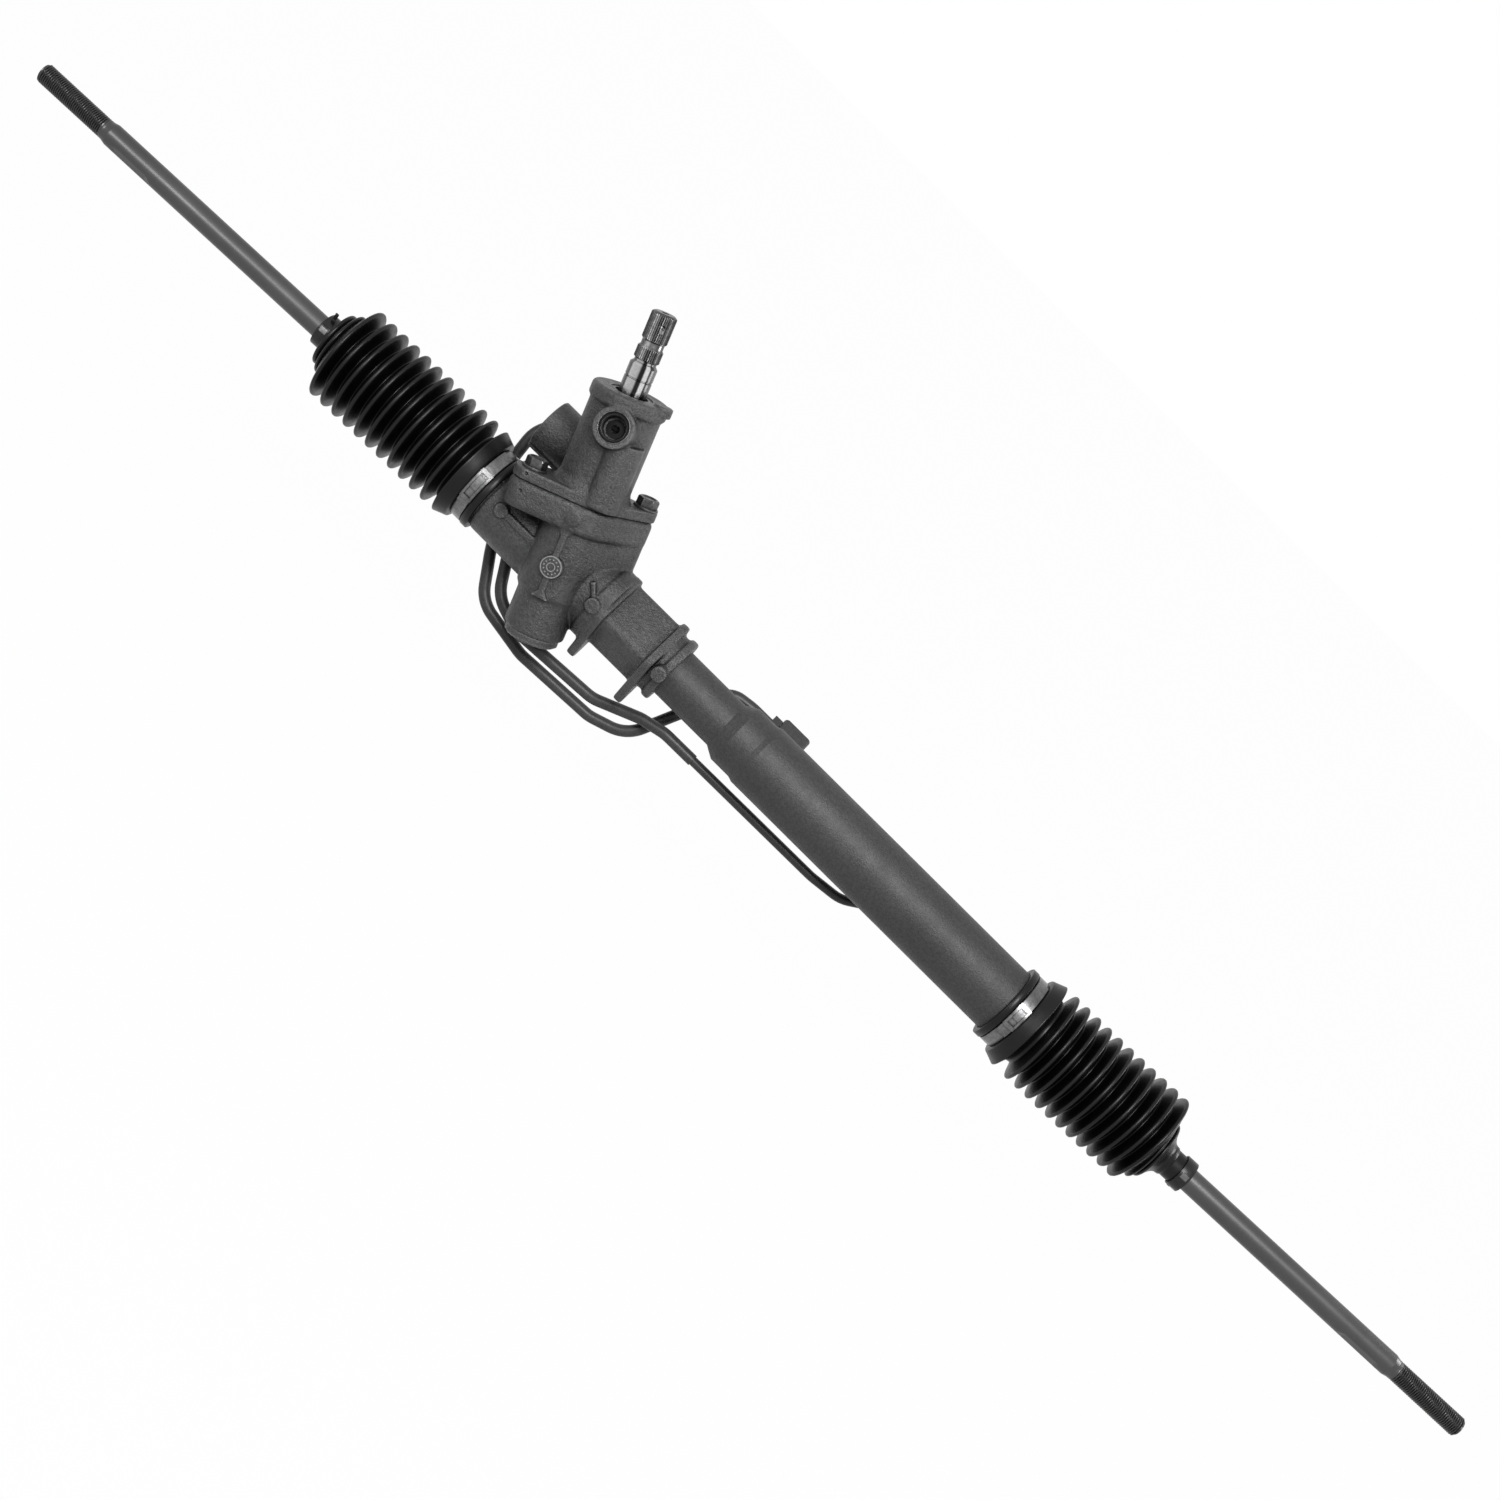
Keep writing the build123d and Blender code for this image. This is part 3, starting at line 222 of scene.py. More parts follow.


# Each finish's hollow shade values are painted shade; its edge colour is partly worn paint and
# partly a painted highlight.
finishes = {
    "cast_aluminium_painted": surface(
        "cast_paint", 0.022, 0.058, 26, (0.32, 0.50),
        [(900, 0.7), (380, 0.62)], specular=0.38,
        wear_and_highlight=((0.2, 0.2, 0.205), 1.4), painted_hollow_shade=[(0.02, 22), (0.02, 6)], grain=0.45),
    "painted_steel": surface(
        "steel_paint", 0.028, 0.036, 18, (0.44, 0.56),
        [(900, 0.3), (160, 0.06)], specular=0.32, grain=0.6,
        painted_hollow_shade=[(0.1, 8)]),
    "painted_tube": surface(
        "pipe_paint", 0.028, 0.040, 30, (0.34, 0.44),
        [(1100, 0.06)], specular=0.25),
    "bright_steel": surface(
        "ground_steel", (0.25, 0.25, 0.255), (0.42, 0.42, 0.43), 60, (0.2, 0.36),
        [(700, 0.03)], metallic=1.0),
    "zinc_steel": surface(
        "zinc_plate", (0.10, 0.10, 0.102), (0.22, 0.22, 0.223), 70, (0.22, 0.36),
        [(500, 0.04)], metallic=1.0, painted_hollow_shade=[(0.05, 2.0)]),
    "black_spring_steel": surface(
        "black_steel", 0.008, 0.016, 60, (0.25, 0.4),
        [(800, 0.03)], metallic=0.2, specular=0.3),
    "bearing_steel": surface(
        "bearing_ring", (0.5, 0.5, 0.52), (0.66, 0.66, 0.68), 60, (0.16, 0.3),
        [(900, 0.02)], metallic=1.0),
    "boot_rubber": surface(
        "boot_rubber", 0.0025, 0.004, 30, (0.30, 0.42),
        [(900, 0.05)], specular=0.2, wear_and_highlight=(0.012, 0.6), painted_hollow_shade=[(0.1, 9)], grain=0.95),
    "seal_rubber": surface(
        "seal_rubber", 0.008, 0.014, 50, (0.5, 0.7),
        [(900, 0.05)], specular=0.3),
    "slide_plastic": surface(
        "bearing_plastic", (0.55, 0.52, 0.45), (0.68, 0.65, 0.57), 50, (0.4, 0.55),
        [(900, 0.04)]),
    "machined_aluminium": surface(
        "turned_aluminium", 0.5, 0.64, 60, (0.25, 0.4),
        [(900, 0.04)], metallic=1.0),
}
# Painted reflections on the shaft: light and dark bands, as (degrees round the pinion from the
# front, shade).
SHAFT_PAINTED_REFLECTIONS = [
    (-90, 0.12), (-38, 0.2), (-31, 0.75), (2, 0.6), (9, 0.03), (23, 0.03), (28, 1.0), (42, 1.0),
    (46, 0.08), (62, 0.10), (70, 0.25), (90, 0.16), (130, 0.6), (150, 0.1), (175, 0.8),
    (215, 0.2), (250, 0.5)]
# Softer painted reflections on the splines, in the same columns.
SPLINE_PAINTED_REFLECTIONS = [
    (-90, 0.08), (-50, 0.16), (-30, 0.32), (-20, 0.75), (-6, 0.7), (2, 0.26), (34, 0.34),
    (44, 0.12), (56, 0.5), (68, 0.16), (90, 0.1), (140, 0.4), (200, 0.15), (250, 0.3)]
rod_steel = surface(
    "rod_steel", 0.070, 0.092, 12, (0.34, 0.38),
    [(1500, 0.01)], metallic=0.85, specular=0.2, grain=0.95,
    painted_hollow_shade=[(0.15, 1.5)])
shaft_steel = surface(
    "shaft_steel", (0.62, 0.62, 0.625), (0.8, 0.8, 0.81), 90, (0.16, 0.3),
    [(900, 0.05)], metallic=1.0, grain=0.85, painted_hollow_shade=[(0.2, 2.5)], painted_reflection_bands=SHAFT_PAINTED_REFLECTIONS)
spline_steel = surface(
    "spline_steel", (0.5, 0.5, 0.505), (0.75, 0.75, 0.76), 90, (0.22, 0.36),
    [(900, 0.08)], metallic=1.0, grain=0.6, painted_hollow_shade=[(0.06, 1.6)], painted_reflection_bands=SPLINE_PAINTED_REFLECTIONS)
bolt_steel = surface(
    "bolt_steel", 0.05, 0.10, 120, (0.25, 0.42),
    [(900, 0.06)], metallic=0.85, painted_hollow_shade=[(0.2, 2.5)])
# Near black for the port's thread lining, chamfer, seat and sleeve: painted shade inside the
# port.
port_painted_shade = surface(
    "port_painted_shade", 0.004, 0.009, 120, (0.35, 0.55),
    [(900, 0.06)], specular=0.06)
slots = {row["node"]: row["material_slot"] for row in frame["record"]["subparts"]}
for node, thing in frame["nodes"].items():
    thing.data.materials.clear()
    thing.data.materials.append(finishes[slots[node]])
# The seat and the sleeve behind it take the port's painted shade.
for node in ("pressure_port_seat", "valve_sleeve"):
    frame["nodes"][node].data.materials[0] = port_painted_shade


# ---------------------------------------------------------------- shapes
def linked(name, data):
    """A new object in the scene."""
    thing = bpy.data.objects.new(name, data)
    bpy.context.collection.objects.link(thing)
    return thing


def finished(mesh, name, slot, body=None, smooth=40, finish=None):
    """A piece from a mesh in millimetres, with its finish, the slot's unless another is given,
    and its body.
    """
    mesh.transform(Matrix.Scale(MM, 4))
    mesh.materials.clear()
    mesh.materials.append(finish or finishes[slot])
    piece = linked(name, mesh)
    for polygon in mesh.polygons:
        polygon.use_smooth = True
    if smooth:
        mesh.set_sharp_from_angle(angle=math.radians(smooth))
    if body:
        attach(piece, body)
    return piece


def coordinates(mesh):
    """A mesh's points, as rows."""
    points = np.empty(len(mesh.vertices) * 3)
    mesh.vertices.foreach_get("co", points)
    return points.reshape(-1, 3)


def facing_out(mesh):
    """Turns every face's normal outwards."""
    turned = bmesh.new()
    turned.from_mesh(mesh)
    bmesh.ops.recalc_face_normals(turned, faces=turned.faces)
    turned.to_mesh(mesh)
    turned.free()


def evaluated(thing):
    """A new mesh of an object with its modifiers, and the object taken away."""
    made = bpy.data.meshes.new_from_object(
        thing.evaluated_get(bpy.context.evaluated_depsgraph_get()))
    bpy.data.objects.remove(thing)
    return made


def along_and_aside(points, foot, way):
    """How far points are along an axis, and how far from it."""
    offset = points - np.array(foot)
    along = offset @ np.array(way)
    return along, np.linalg.norm(offset - along[:, None] * np.array(way), axis=1)


def softened(points, size, steps=3, closed=False):
    """A profile with its corners rounded: size is the cut along each side, at most."""
    result = []
    count = len(points)
    for i, point in enumerate(points):
        if not closed and i in (0, count - 1):
            result.append(point)
            continue
        here = Vector(point)
        before = Vector(points[i - 1]) - here
        after = Vector(points[(i + 1) % count]) - here
        cut = min(size, 0.45 * before.length, 0.45 * after.length)
        first = here + before.normalized() * cut
        last = here + after.normalized() * cut
        for step in range(steps + 1):
            t = step / steps
            result.append(tuple(first * (1 - t) ** 2 + here * 2 * t * (1 - t) + last * t * t))
    return result


def turned_mesh(name, foot, along, profile, segments=96, closed=False, shape=None):
    """A surface turned about an axis from (place along it, radius) points. shape(place,
    angle, radius) may change the radius. An open profile's ends are capped."""
    along = along.normalized()
    side = along.orthogonal().normalized()
    other = along.cross(side)
    places = np.array(profile, float)
    angles = np.linspace(0, 2 * math.pi, segments, endpoint=False)
    place = np.repeat(places[:, 0:1], segments, axis=1)
    radius = np.repeat(places[:, 1:2], segments, axis=1)
    angle = np.repeat(angles[None, :], len(places), axis=0)
    if shape:
        radius = shape(place, angle, radius)
    points = (
        np.array(foot)[None, None, :]
        + place[..., None] * np.array(along)
        + (radius * np.cos(angle))[..., None] * np.array(side)
        + (radius * np.sin(angle))[..., None] * np.array(other)
    ).reshape(-1, 3)
    rows = len(places)
    faces = []
    for row in range(rows if closed else rows - 1):
        a = row * segments
        b = ((row + 1) % rows) * segments
        for k in range(segments):
            n = (k + 1) % segments
            faces.append((a + k, a + n, b + n, b + k))
    if not closed:
        faces.append(tuple(reversed(range(segments))))
        faces.append(tuple(range((rows - 1) * segments, rows * segments)))
    mesh = bpy.data.meshes.new(name)
    mesh.from_pydata(points.tolist(), [], faces)
    facing_out(mesh)
    return mesh


def dense(profile, step):
    """The profile with points added so that no run is longer than step."""
    result = [profile[0]]
    for start, end in zip(profile, profile[1:]):
        parts = max(1, math.ceil(math.dist(start, end) / step))
        for part in range(1, parts + 1):
            t = part / parts
            result.append((start[0] + (end[0] - start[0]) * t,
                           start[1] + (end[1] - start[1]) * t))
    return result


def joined(name, meshes):
    """One mesh from several."""
    whole = bmesh.new()
    for mesh in meshes:
        whole.from_mesh(mesh)
    made = bpy.data.meshes.new(name)
    whole.to_mesh(made)
    whole.free()
    return made


SMOOTHING = 0.6
FIRST_ROUNDS = 2
PIT_EDGE = 0.5
PIT_REACH = 4


def casting(node, name, voxel, rounds, stiffness, extras=(), pits=()):
    """A cast piece from a CAD node: remeshed, then smoothed so that its walls run into each
    other. stiffness(points) is 1 where a face was cut, and 0 where the edges are softest.
    extras are meshes that grow out of it; pits are (place, direction, radius, depth)."""
    for extra in extras:
        extra.transform(Matrix.Scale(MM, 4))
    rough = linked(name, joined(name, [frame["nodes"][node].data, *extras]))
    remesh = rough.modifiers.new("remesh", "REMESH")
    remesh.mode = "VOXEL"
    remesh.voxel_size = voxel * MM
    made = evaluated(rough)
    made.name = name
    points = coordinates(made) / MM
    edges = np.empty(len(made.edges) * 2, np.int64)
    made.edges.foreach_get("vertices", edges)
    edges = edges.reshape(-1, 2)
    degree = np.bincount(edges.ravel(), minlength=len(points))[:, None]
    stiff = stiffness(points)[:, None]
    for step in range(rounds):
        # The first rounds only take the voxels' steps away, so they reach every face.
        share = np.where(stiff < 1, 1.0, 1.0 if step < FIRST_ROUNDS else 0.0)
        share = np.where(step < rounds * (1 - stiff) + FIRST_ROUNDS + 1, share, 0.0)
        total = np.empty_like(points)
        for k in range(3):
            total[:, k] = np.bincount(edges[:, 0], points[edges[:, 1], k], len(points))
            total[:, k] += np.bincount(edges[:, 1], points[edges[:, 0], k], len(points))
        points += (total / degree - points) * SMOOTHING * share
    for place, direction, radius, depth in pits:
        along, aside = along_and_aside(points, place, direction)
        press = np.clip((radius - aside) / PIT_EDGE, 0, 1) * (np.abs(along) < PIT_REACH)
        points -= (press * depth)[:, None] * np.array(direction)
    made.vertices.foreach_set("co", points.ravel())
    made.update()
    piece = finished(made, name, slots[node], smooth=None)
    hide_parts(node)
    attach(piece, "housing")


# ---------------------------------------------------------------- castings
def gear_stiffness(points):
    """Cut faces stay as they are; the saddle's flanges and the ears are the roundest."""
    height, away = along_and_aside(points, PINION_FOOT, PINION_UP)
    from_rack = np.hypot(points[:, 1], points[:, 2])
    stiff = np.full(len(points), 0.85)
    stiff[(np.abs(points[:, 0]) < 27) & (from_rack > 21)] = 0.1
    stiff[(height > 27) & (height < 46) & (away > 24)] = 0.5
    # The pinion's upper bore and the end cap's, the left spigot, the tube's seat, the end of
    # the yoke's boss, and the joint's face.
    cut = (away < 20.5) & (height > 20)
    cut |= (away < 17.5) & (height < -30)
    cut |= points[:, 0] < -124
    cut |= (from_rack < 16) & (points[:, 0] > 5)
    cut |= (points[:, 1] > 41) & (np.hypot(points[:, 0] - PINION_X, points[:, 2]) < 25)
    cut |= (height > 46.5) & (away < 24)
    stiff[cut] = 1.0
    return stiff


def valve_stiffness(points):
    """Cut faces stay as they are: the bore, the joint's face and the port."""
    height, away = along_and_aside(points, PINION_FOOT, PINION_UP)
    stiff = np.full(len(points), 0.55)
    reach, aside = along_and_aside(points, PORT_FOOT, PORT_WAY)
    stiff[(away < 18.2) | ((height < 49.5) & (away < 24)) | ((reach > 18) & (aside < 10.8))] = 1.0
    return stiff


# The rounded column on the front of the valve tower.
column = turned_mesh("column", by_pinion(50, 10.5, 18.8), PINION_UP, [(0, 9), (40, 9)], 48)
casting("gear_housing", "gear_casting", 0.6, 16, gear_stiffness,
        pits=[(by_pinion(41, -35.2, 29.6), FRONT, 1.3, 1.6)])
casting("valve_housing", "valve_casting", 0.55, 10, valve_stiffness,
        extras=[column], pits=[(by_pinion(52.4, -35.7, 29.6), FRONT, 1.3, 1.6)])

# The dial on the front of the gear housing, below the tower: two rims and a ring of dots.
plate_face = by_pinion(4.8, 0.3, 25.85)
OUTER_RIM = [(-0.4, 6.3), (0.25, 6.4), (0.25, 7.0), (-0.4, 7.1)]
INNER_RIM = [(-0.4, 2.3), (0.2, 2.4), (0.2, 2.9), (-0.4, 3.0)]
DOTS = 12
DOT_RING = 4.7
dial = [turned_mesh("rim", plate_face, FRONT, OUTER_RIM, 48, closed=True),
        turned_mesh("rim", plate_face, FRONT, INNER_RIM, 36, closed=True)]
for k in range(DOTS):
    turn = 2 * math.pi * k / DOTS
    dot = plate_face + PINION_ACROSS * DOT_RING * math.cos(turn)
    dot += PINION_UP * DOT_RING * math.sin(turn)
    dial.append(turned_mesh("dot", dot, FRONT, [(-0.4, 0.55), (0.2, 0.5), (0.3, 0.3)], 10))
finished(joined("date_dial", dial), "date_dial", "cast_aluminium_painted", "housing", smooth=35)

# ---------------------------------------------------------------- input shaft and fasteners
SERRATIONS = 36
SERRATION_DEPTH = 0.6
SPLINES = ((143.2, 150.0), (156.0, 172.2))
SPLINE_STEEL_FROM = 142.4
TIP_CHAMFER_FROM = 172.3
CROSS_HOLE = 166
# The shaft's outside and its bore, as (height along the pinion, radius).
shaft_outside = (
    [(61, 10.5), (104, 10.5), (105, 9.6), (112.5, 9.6), (113, 9.1), (129.8, 9.1), (130.1, 8.7),
     (130.7, 8.7), (131.0, 9.1), (138.9, 9.1), (139.5, 8.7), (140.9, 7.3), (142.2, 7.3),
     (143.0, 8.3)]
    + dense([(143.2, 8.4), (150.0, 8.4)], 0.6)
    + [(150.3, 8.2), (151.4, 7.3), (154.6, 7.3), (155.7, 8.2)]
    + dense([(156.0, 8.4), (172.2, 8.4)], 0.8)
    + [(172.8, 7.9), (173.6, 6.6)]
)
shaft_inside = [(173.6, 2.4), (150, 2.4), (149, 4.2), (61, 4.2)]


def serrated(place, angle, radius):
    """The serrations of the two splined lengths."""
    tooth = np.abs(((angle * SERRATIONS / (2 * math.pi)) % 1.0) * 2 - 1)
    depth = SERRATION_DEPTH * np.clip(tooth * 1.3 - 0.15, 0, 1)
    here = np.zeros_like(radius)
    for start, end in SPLINES:
        here = np.maximum(here, (place > start - 0.2) & (place < end + 0.2))
    return np.where((radius > 7.9) & (here > 0), radius - depth, radius)


def drilled(mesh, foot, along, radius, length):
    """The mesh with a round hole through it."""
    body = linked("body", mesh)
    half = along.normalized() * length / 2
    drill = linked("drill", turned_mesh(
        "drill", foot - half, along, [(0, radius), (length, radius)], 24))
    cut = body.modifiers.new("cut", "BOOLEAN")
    cut.operation = "DIFFERENCE"
    cut.solver = "EXACT"
    cut.object = drill
    made = evaluated(body)
    bpy.data.objects.remove(drill)
    return made


# The cross hole points this far from the front, to the right.
PIN_TURN = math.radians(27)
PIN_WAY = FRONT * math.cos(PIN_TURN) + PINION_ACROSS * math.sin(PIN_TURN)
shaft_mesh = turned_mesh("steering_shaft", PINION_FOOT, PINION_UP, shaft_outside + shaft_inside,
                         SERRATIONS * 6, closed=True, shape=serrated)
shaft = finished(
    drilled(shaft_mesh, PINION_FOOT + PINION_UP * CROSS_HOLE, PIN_WAY, 1.6, 24),
    "steering_shaft", slots["input_shaft"], smooth=28, finish=shaft_steel)
shaft.data.materials.append(spline_steel)
shaft.data.materials.append(bolt_steel)
# Faces past SPLINE_STEEL_FROM take spline_steel, with its own painted reflections, and faces past
# TIP_CHAMFER_FROM the darker bolt_steel: painted shade on the tip's chamfer.
for polygon in shaft.data.polygons:
    height = (polygon.center / MM - PINION_FOOT).dot(PINION_UP)
    polygon.material_index = int(height > SPLINE_STEEL_FROM) + int(height > TIP_CHAMFER_FROM)
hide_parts("input_shaft")
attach(shaft, "input")


def hexed(flat_from, flat_to, apothem):
    """A shape that cuts six flats between two places."""
    def shape(place, angle, radius):
        turn = (angle + math.pi / 6) % (math.pi / 3) - math.pi / 6
        limit = apothem / np.cos(turn)
        here = (place > flat_from) & (place < flat_to)
        return np.where(here, np.minimum(radius, limit), radius)
    return shape


JOINT_FACE = 55.0
bolt_profile = [
    (-22, 0.01), (-22, 3.2), (-21.3, 3.9), (0, 3.9), (0, 8.0), (0.3, 8.3), (0.9, 8.3), (1.5, 7.9),
    (1.6, 7.3), (1.61, 7.3), (6.0, 7.3), (6.8, 6.7), (7.1, 6.0), (7.1, 5.0), (6.4, 4.4),
    (6.4, 0.01)]
heads = []
for across, back in ((32.4, 17.7), (-34.7, -17.7)):
    foot = PINION_FOOT + PINION_UP * JOINT_FACE + PINION_ACROSS * across + Vector((0, back, 0))
    heads.append(turned_mesh("bolt", foot, PINION_UP, bolt_profile, 72,
                             shape=hexed(1.605, 7.05, 6.25)))
bolts = finished(joined("joint_bolts", heads), "joint_bolts", slots["valve_housing_bolts"],
                 "housing", smooth=25, finish=bolt_steel)
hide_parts("valve_housing_bolts")


PORT_PITCH = 1.5
PORT_THREAD_DEPTH = 0.75


def port_shape(place, angle, radius):
    """The port's thread."""
    phase = (place / PORT_PITCH - angle / (2 * math.pi)) % 1.0
    crest = 1 - np.abs(phase * 2 - 1)
    return np.where((radius < 7.85) & (place > 23), radius - PORT_THREAD_DEPTH * crest, radius)


def in_port(name, slot, profile, finish, smooth=30, shape=None):
    """A ring in the pressure port."""
    mesh = turned_mesh(name, PORT_FOOT, PORT_WAY, profile, 64, closed=True, shape=shape)
    finished(mesh, name, slot, "housing", smooth=smooth, finish=finish)


# The thread lining and the chamfer in the port's near-black painted shade.
in_port("port_thread", slots["pressure_port_seat"],
        dense([(22.7, 7.8), (29.3, 7.8)], 0.19) + [(29.45, 7.98), (22.55, 7.98)],
        port_painted_shade, shape=port_shape)
in_port("port_chamfer", "machined_aluminium",
        [(28.9, 7.95), (30.35, 9.9), (30.35, 10.15), (29.52, 10.15), (29.52, 8.05), (28.9, 8.02)],
        port_painted_shade)
for name, radius, place in (("port_edge", 9.95, 30.42), ("port_mouth", 8.15, 29.32)):
    in_port(name, "machined_aluminium",
            [(place - 0.28, radius - 0.22), (place + 0.1, radius - 0.22), (place + 0.16, radius),
             (place + 0.1, radius + 0.22), (place - 0.28, radius + 0.22)],
            bolt_steel, smooth=40)


# ---------------------------------------------------------------- bands and clips
def slab(width, length, height, at=(0, 0, 0), bevel=0.25, cuts=6):
    """A flat bevelled plate, its length along Y, ready to be bent round a ring."""
    plate = bmesh.new()
    bmesh.ops.create_cube(plate, size=1)
    bmesh.ops.scale(plate, vec=(width, length, height), verts=plate.verts)
    bmesh.ops.bevel(plate, geom=plate.edges[:], offset=bevel, segments=2, affect="EDGES")
    for cut in range(1, cuts):
        y = -length / 2 + bevel + (length - 2 * bevel) * cut / cuts
        bmesh.ops.bisect_plane(plate, geom=plate.verts[:] + plate.edges[:] + plate.faces[:],
                               plane_co=(0, y, 0), plane_no=(0, 1, 0))
    bmesh.ops.translate(plate, vec=(at[0], at[1], at[2] + height / 2), verts=plate.verts)
    made = bpy.data.meshes.new("slab")
    plate.to_mesh(made)
    plate.free()
    return made


def bent(mesh, foot, along, ring, middle):
    """Wraps a flat mesh round a ring: X along its axis, Y round it, Z away from it. middle is
    the angle up from the front."""
    along = along.normalized()
    upward = along.cross(FRONT) * (1 if along.x < 0 else -1)
    co = coordinates(mesh)
    angle = math.radians(middle) + co[:, 1] / ring
    radius = ring + co[:, 2]
    bent_points = (
        np.array(foot) + co[:, 0:1] * np.array(along)
        + (radius * np.cos(angle))[:, None] * np.array(FRONT)
        + (radius * np.sin(angle))[:, None] * np.array(upward))
    mesh.vertices.foreach_set("co", bent_points.ravel())
    facing_out(mesh)
    return mesh


def hoop(foot, along, inner, half, thickness, segments):
    """A flat ring with rounded edges, half its width to each side of foot."""
    outer = inner + thickness
    profile = softened([(-half, inner), (-half, outer), (half, outer), (half, inner)],
                       0.25, 2, closed=True)
    return turned_mesh("ring", foot, along, profile, segments, closed=True)


def wrapped(name, foot, along, ring, hoop_mesh, flat, middle):
    """One mesh from a hoop and the flat parts bent round it."""
    return joined(name, [hoop_mesh] + [bent(part, foot, along, ring, middle) for part in flat])


# The radius that the straps sit on.
STRAP = 26.46
# The angle up from the front, and the length, of each strap's buckle.
BUCKLES = {"left": (9, 22), "right": (14, 17)}
for side, way in WAYS.items():
    foot = Vector((LIPS[side] + way * 9.5, 0, 0))
    along = Vector((way, 0, 0))
    middle, length = BUCKLES[side]
    flat = [slab(7.8, 46, 0.7, (0, 8, 0.85), 0.2, 24)]
    flat += [slab(2.0, length, 1.3, (x, 0, 1.0), 0.3, 10) for x in (-3.4, 3.4)]
    flat += [slab(8.0, 3.2, 1.5, (0, y, 0.9), 0.35, 3)
             for y in (-length / 2 + 1.2, length / 2 - 1.4)]
    flat += [slab(5.4, length * 0.42, 1.35, (0, length * 0.08, 0.9), 0.35, 5)]
    name = f"{side}_band_strap"
    band = wrapped(name, foot, along, STRAP, hoop(foot, along, STRAP, 4, 0.85, 144), flat, middle)
    piece = finished(band, name, slots[f"{side}_boot_band"], "housing", smooth=30)
    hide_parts(f"{side}_boot_band")

# Each clip's place along the rod, half its width, and the angle of its ears.
CLIPS = {"left": (45.4, 4.0, 62), "right": (45.9, 4.0, -128)}
# The radius that the clips sit on, and the angle up from the front of the bright zinc patch on
# each: a painted highlight on the black clip.
CLIP = 10.5
CLIP_HIGHLIGHT_ANGLE = 14
for side in WAYS:
    rod = rod_way(side)
    middle, half, ears = CLIPS[side]
    foot = BALLS[side] + rod * middle
    # A thin bright zinc patch on the clip, a painted highlight.
    highlight_patch = bent(slab(5.4, 3.4, 0.7, (0, 0, 0.85), 0.25, 2), foot, rod, CLIP, CLIP_HIGHLIGHT_ANGLE)
    finished(highlight_patch, f"{side}_clip_highlight_patch", "zinc_steel", f"{side}_rod", smooth=30)
    flat = [slab(2 * half - 0.6, 12, 0.5, (0, 0, 0.9), 0.2, 8)]
    flat += [slab(2.4, 1.0, 4.6, (x, y, 0.8), 0.3, 2) for x, y in ((-1.0, -2.2), (1.0, 2.2))]
    name = f"{side}_clip_band"
    clip = wrapped(name, foot, rod, CLIP, hoop(foot, rod, CLIP, half, 0.9, 96), flat, ears)
    piece = finished(clip, name, slots[f"{side}_cuff_clip"], f"{side}_rod", smooth=30,
                     finish=finishes["black_spring_steel"])
    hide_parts(f"{side}_cuff_clip")


# ---------------------------------------------------------------- tie rods
THREAD_PITCH = 1.5
THREAD_DEPTH = 0.82
THREAD_LENGTH = 56
THREAD_RADIUS = 6.98
FLAT_DEPTH = 0.9
SHANK = 7.9
BALL = 13


def rod_shape(thread_start):
    """Two spanner flats that run out into the shank, and a rolled thread."""
    flat_start = thread_start - 43
    flat_end = thread_start - 8

    def shape(place, angle, radius):
        on_flat = np.clip(np.minimum(place - flat_start, flat_end - place) / 4, 0, 1)
        half = SHANK - FLAT_DEPTH * on_flat
        across = np.abs(np.cos(angle)) + 1e-6
        flatted = np.where(on_flat > 0, np.minimum(radius, half / across), radius)
        phase = (place / THREAD_PITCH - angle / (2 * math.pi)) % 1.0
        groove = 1 - np.abs(phase * 2 - 1)
        groove = np.clip(groove * 1.25 - 0.1, 0, 1)
        depth = THREAD_DEPTH * np.clip((place - thread_start - 1) / 2.5, 0, 1)
        return np.where(place > thread_start, radius - groove * depth, flatted)
    return shape


for side in WAYS:
    tip = ROD_TIPS[side]
    thread_start = tip - THREAD_LENGTH
    shank_end = thread_start - 47
    turns = [math.radians(degrees) for degrees in range(0, 152, 7)]
    ball = [(-BALL * math.cos(turn), BALL * math.sin(turn)) for turn in turns]
    stem = softened([(11.5, 6.1), (18, 6.0), (25, SHANK), (60, SHANK)], 4)
    shank = dense([(60, SHANK), (shank_end, SHANK)], 30)
    flats = dense([(shank_end, SHANK), (thread_start - 4, SHANK)], 0.8)
    thread = dense([(thread_start - 3.9, SHANK), (thread_start, THREAD_RADIUS),
                    (tip - 1.5, THREAD_RADIUS), (tip, 5.5)], 0.19)
    name = f"{side}_rod_steel"
    profile = ball + stem + shank[1:] + flats[1:] + thread
    piece = finished(
        turned_mesh(name, BALLS[side], rod_way(side), profile, 56, shape=rod_shape(thread_start)),
        name, slots[f"{side}_tie_rod"], smooth=35, finish=rod_steel)
    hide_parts(f"{side}_tie_rod")
    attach(piece, f"{side}_rod")


# ---------------------------------------------------------------- boots
RINGS = 11
RING_PITCH = {"left": 9.77, "right": 9.2}
FIRST_RING = {"left": -156.6, "right": 365.0}
# How far the first ring leans, and how much further the last one does, in degrees.
RING_START = {"left": 0.0, "right": -2.6}
RING_LEAN = {"left": 2.25, "right": 4.85}
# How far the boot's middle line hangs off the rack's axis, a given way along it.
HANG = {"left": -2.2, "right": 3.0}
HANG_SPAN = 120.0
CREST = 34.5
VALLEY = 25.4
WALL = 1.5
CUFF_INSIDE = 8.25
# Where each cuff starts and ends, along the rod from its ball.
CUFFS = {"left": (42.0, 50.0), "right": (34.5, 50.5)}
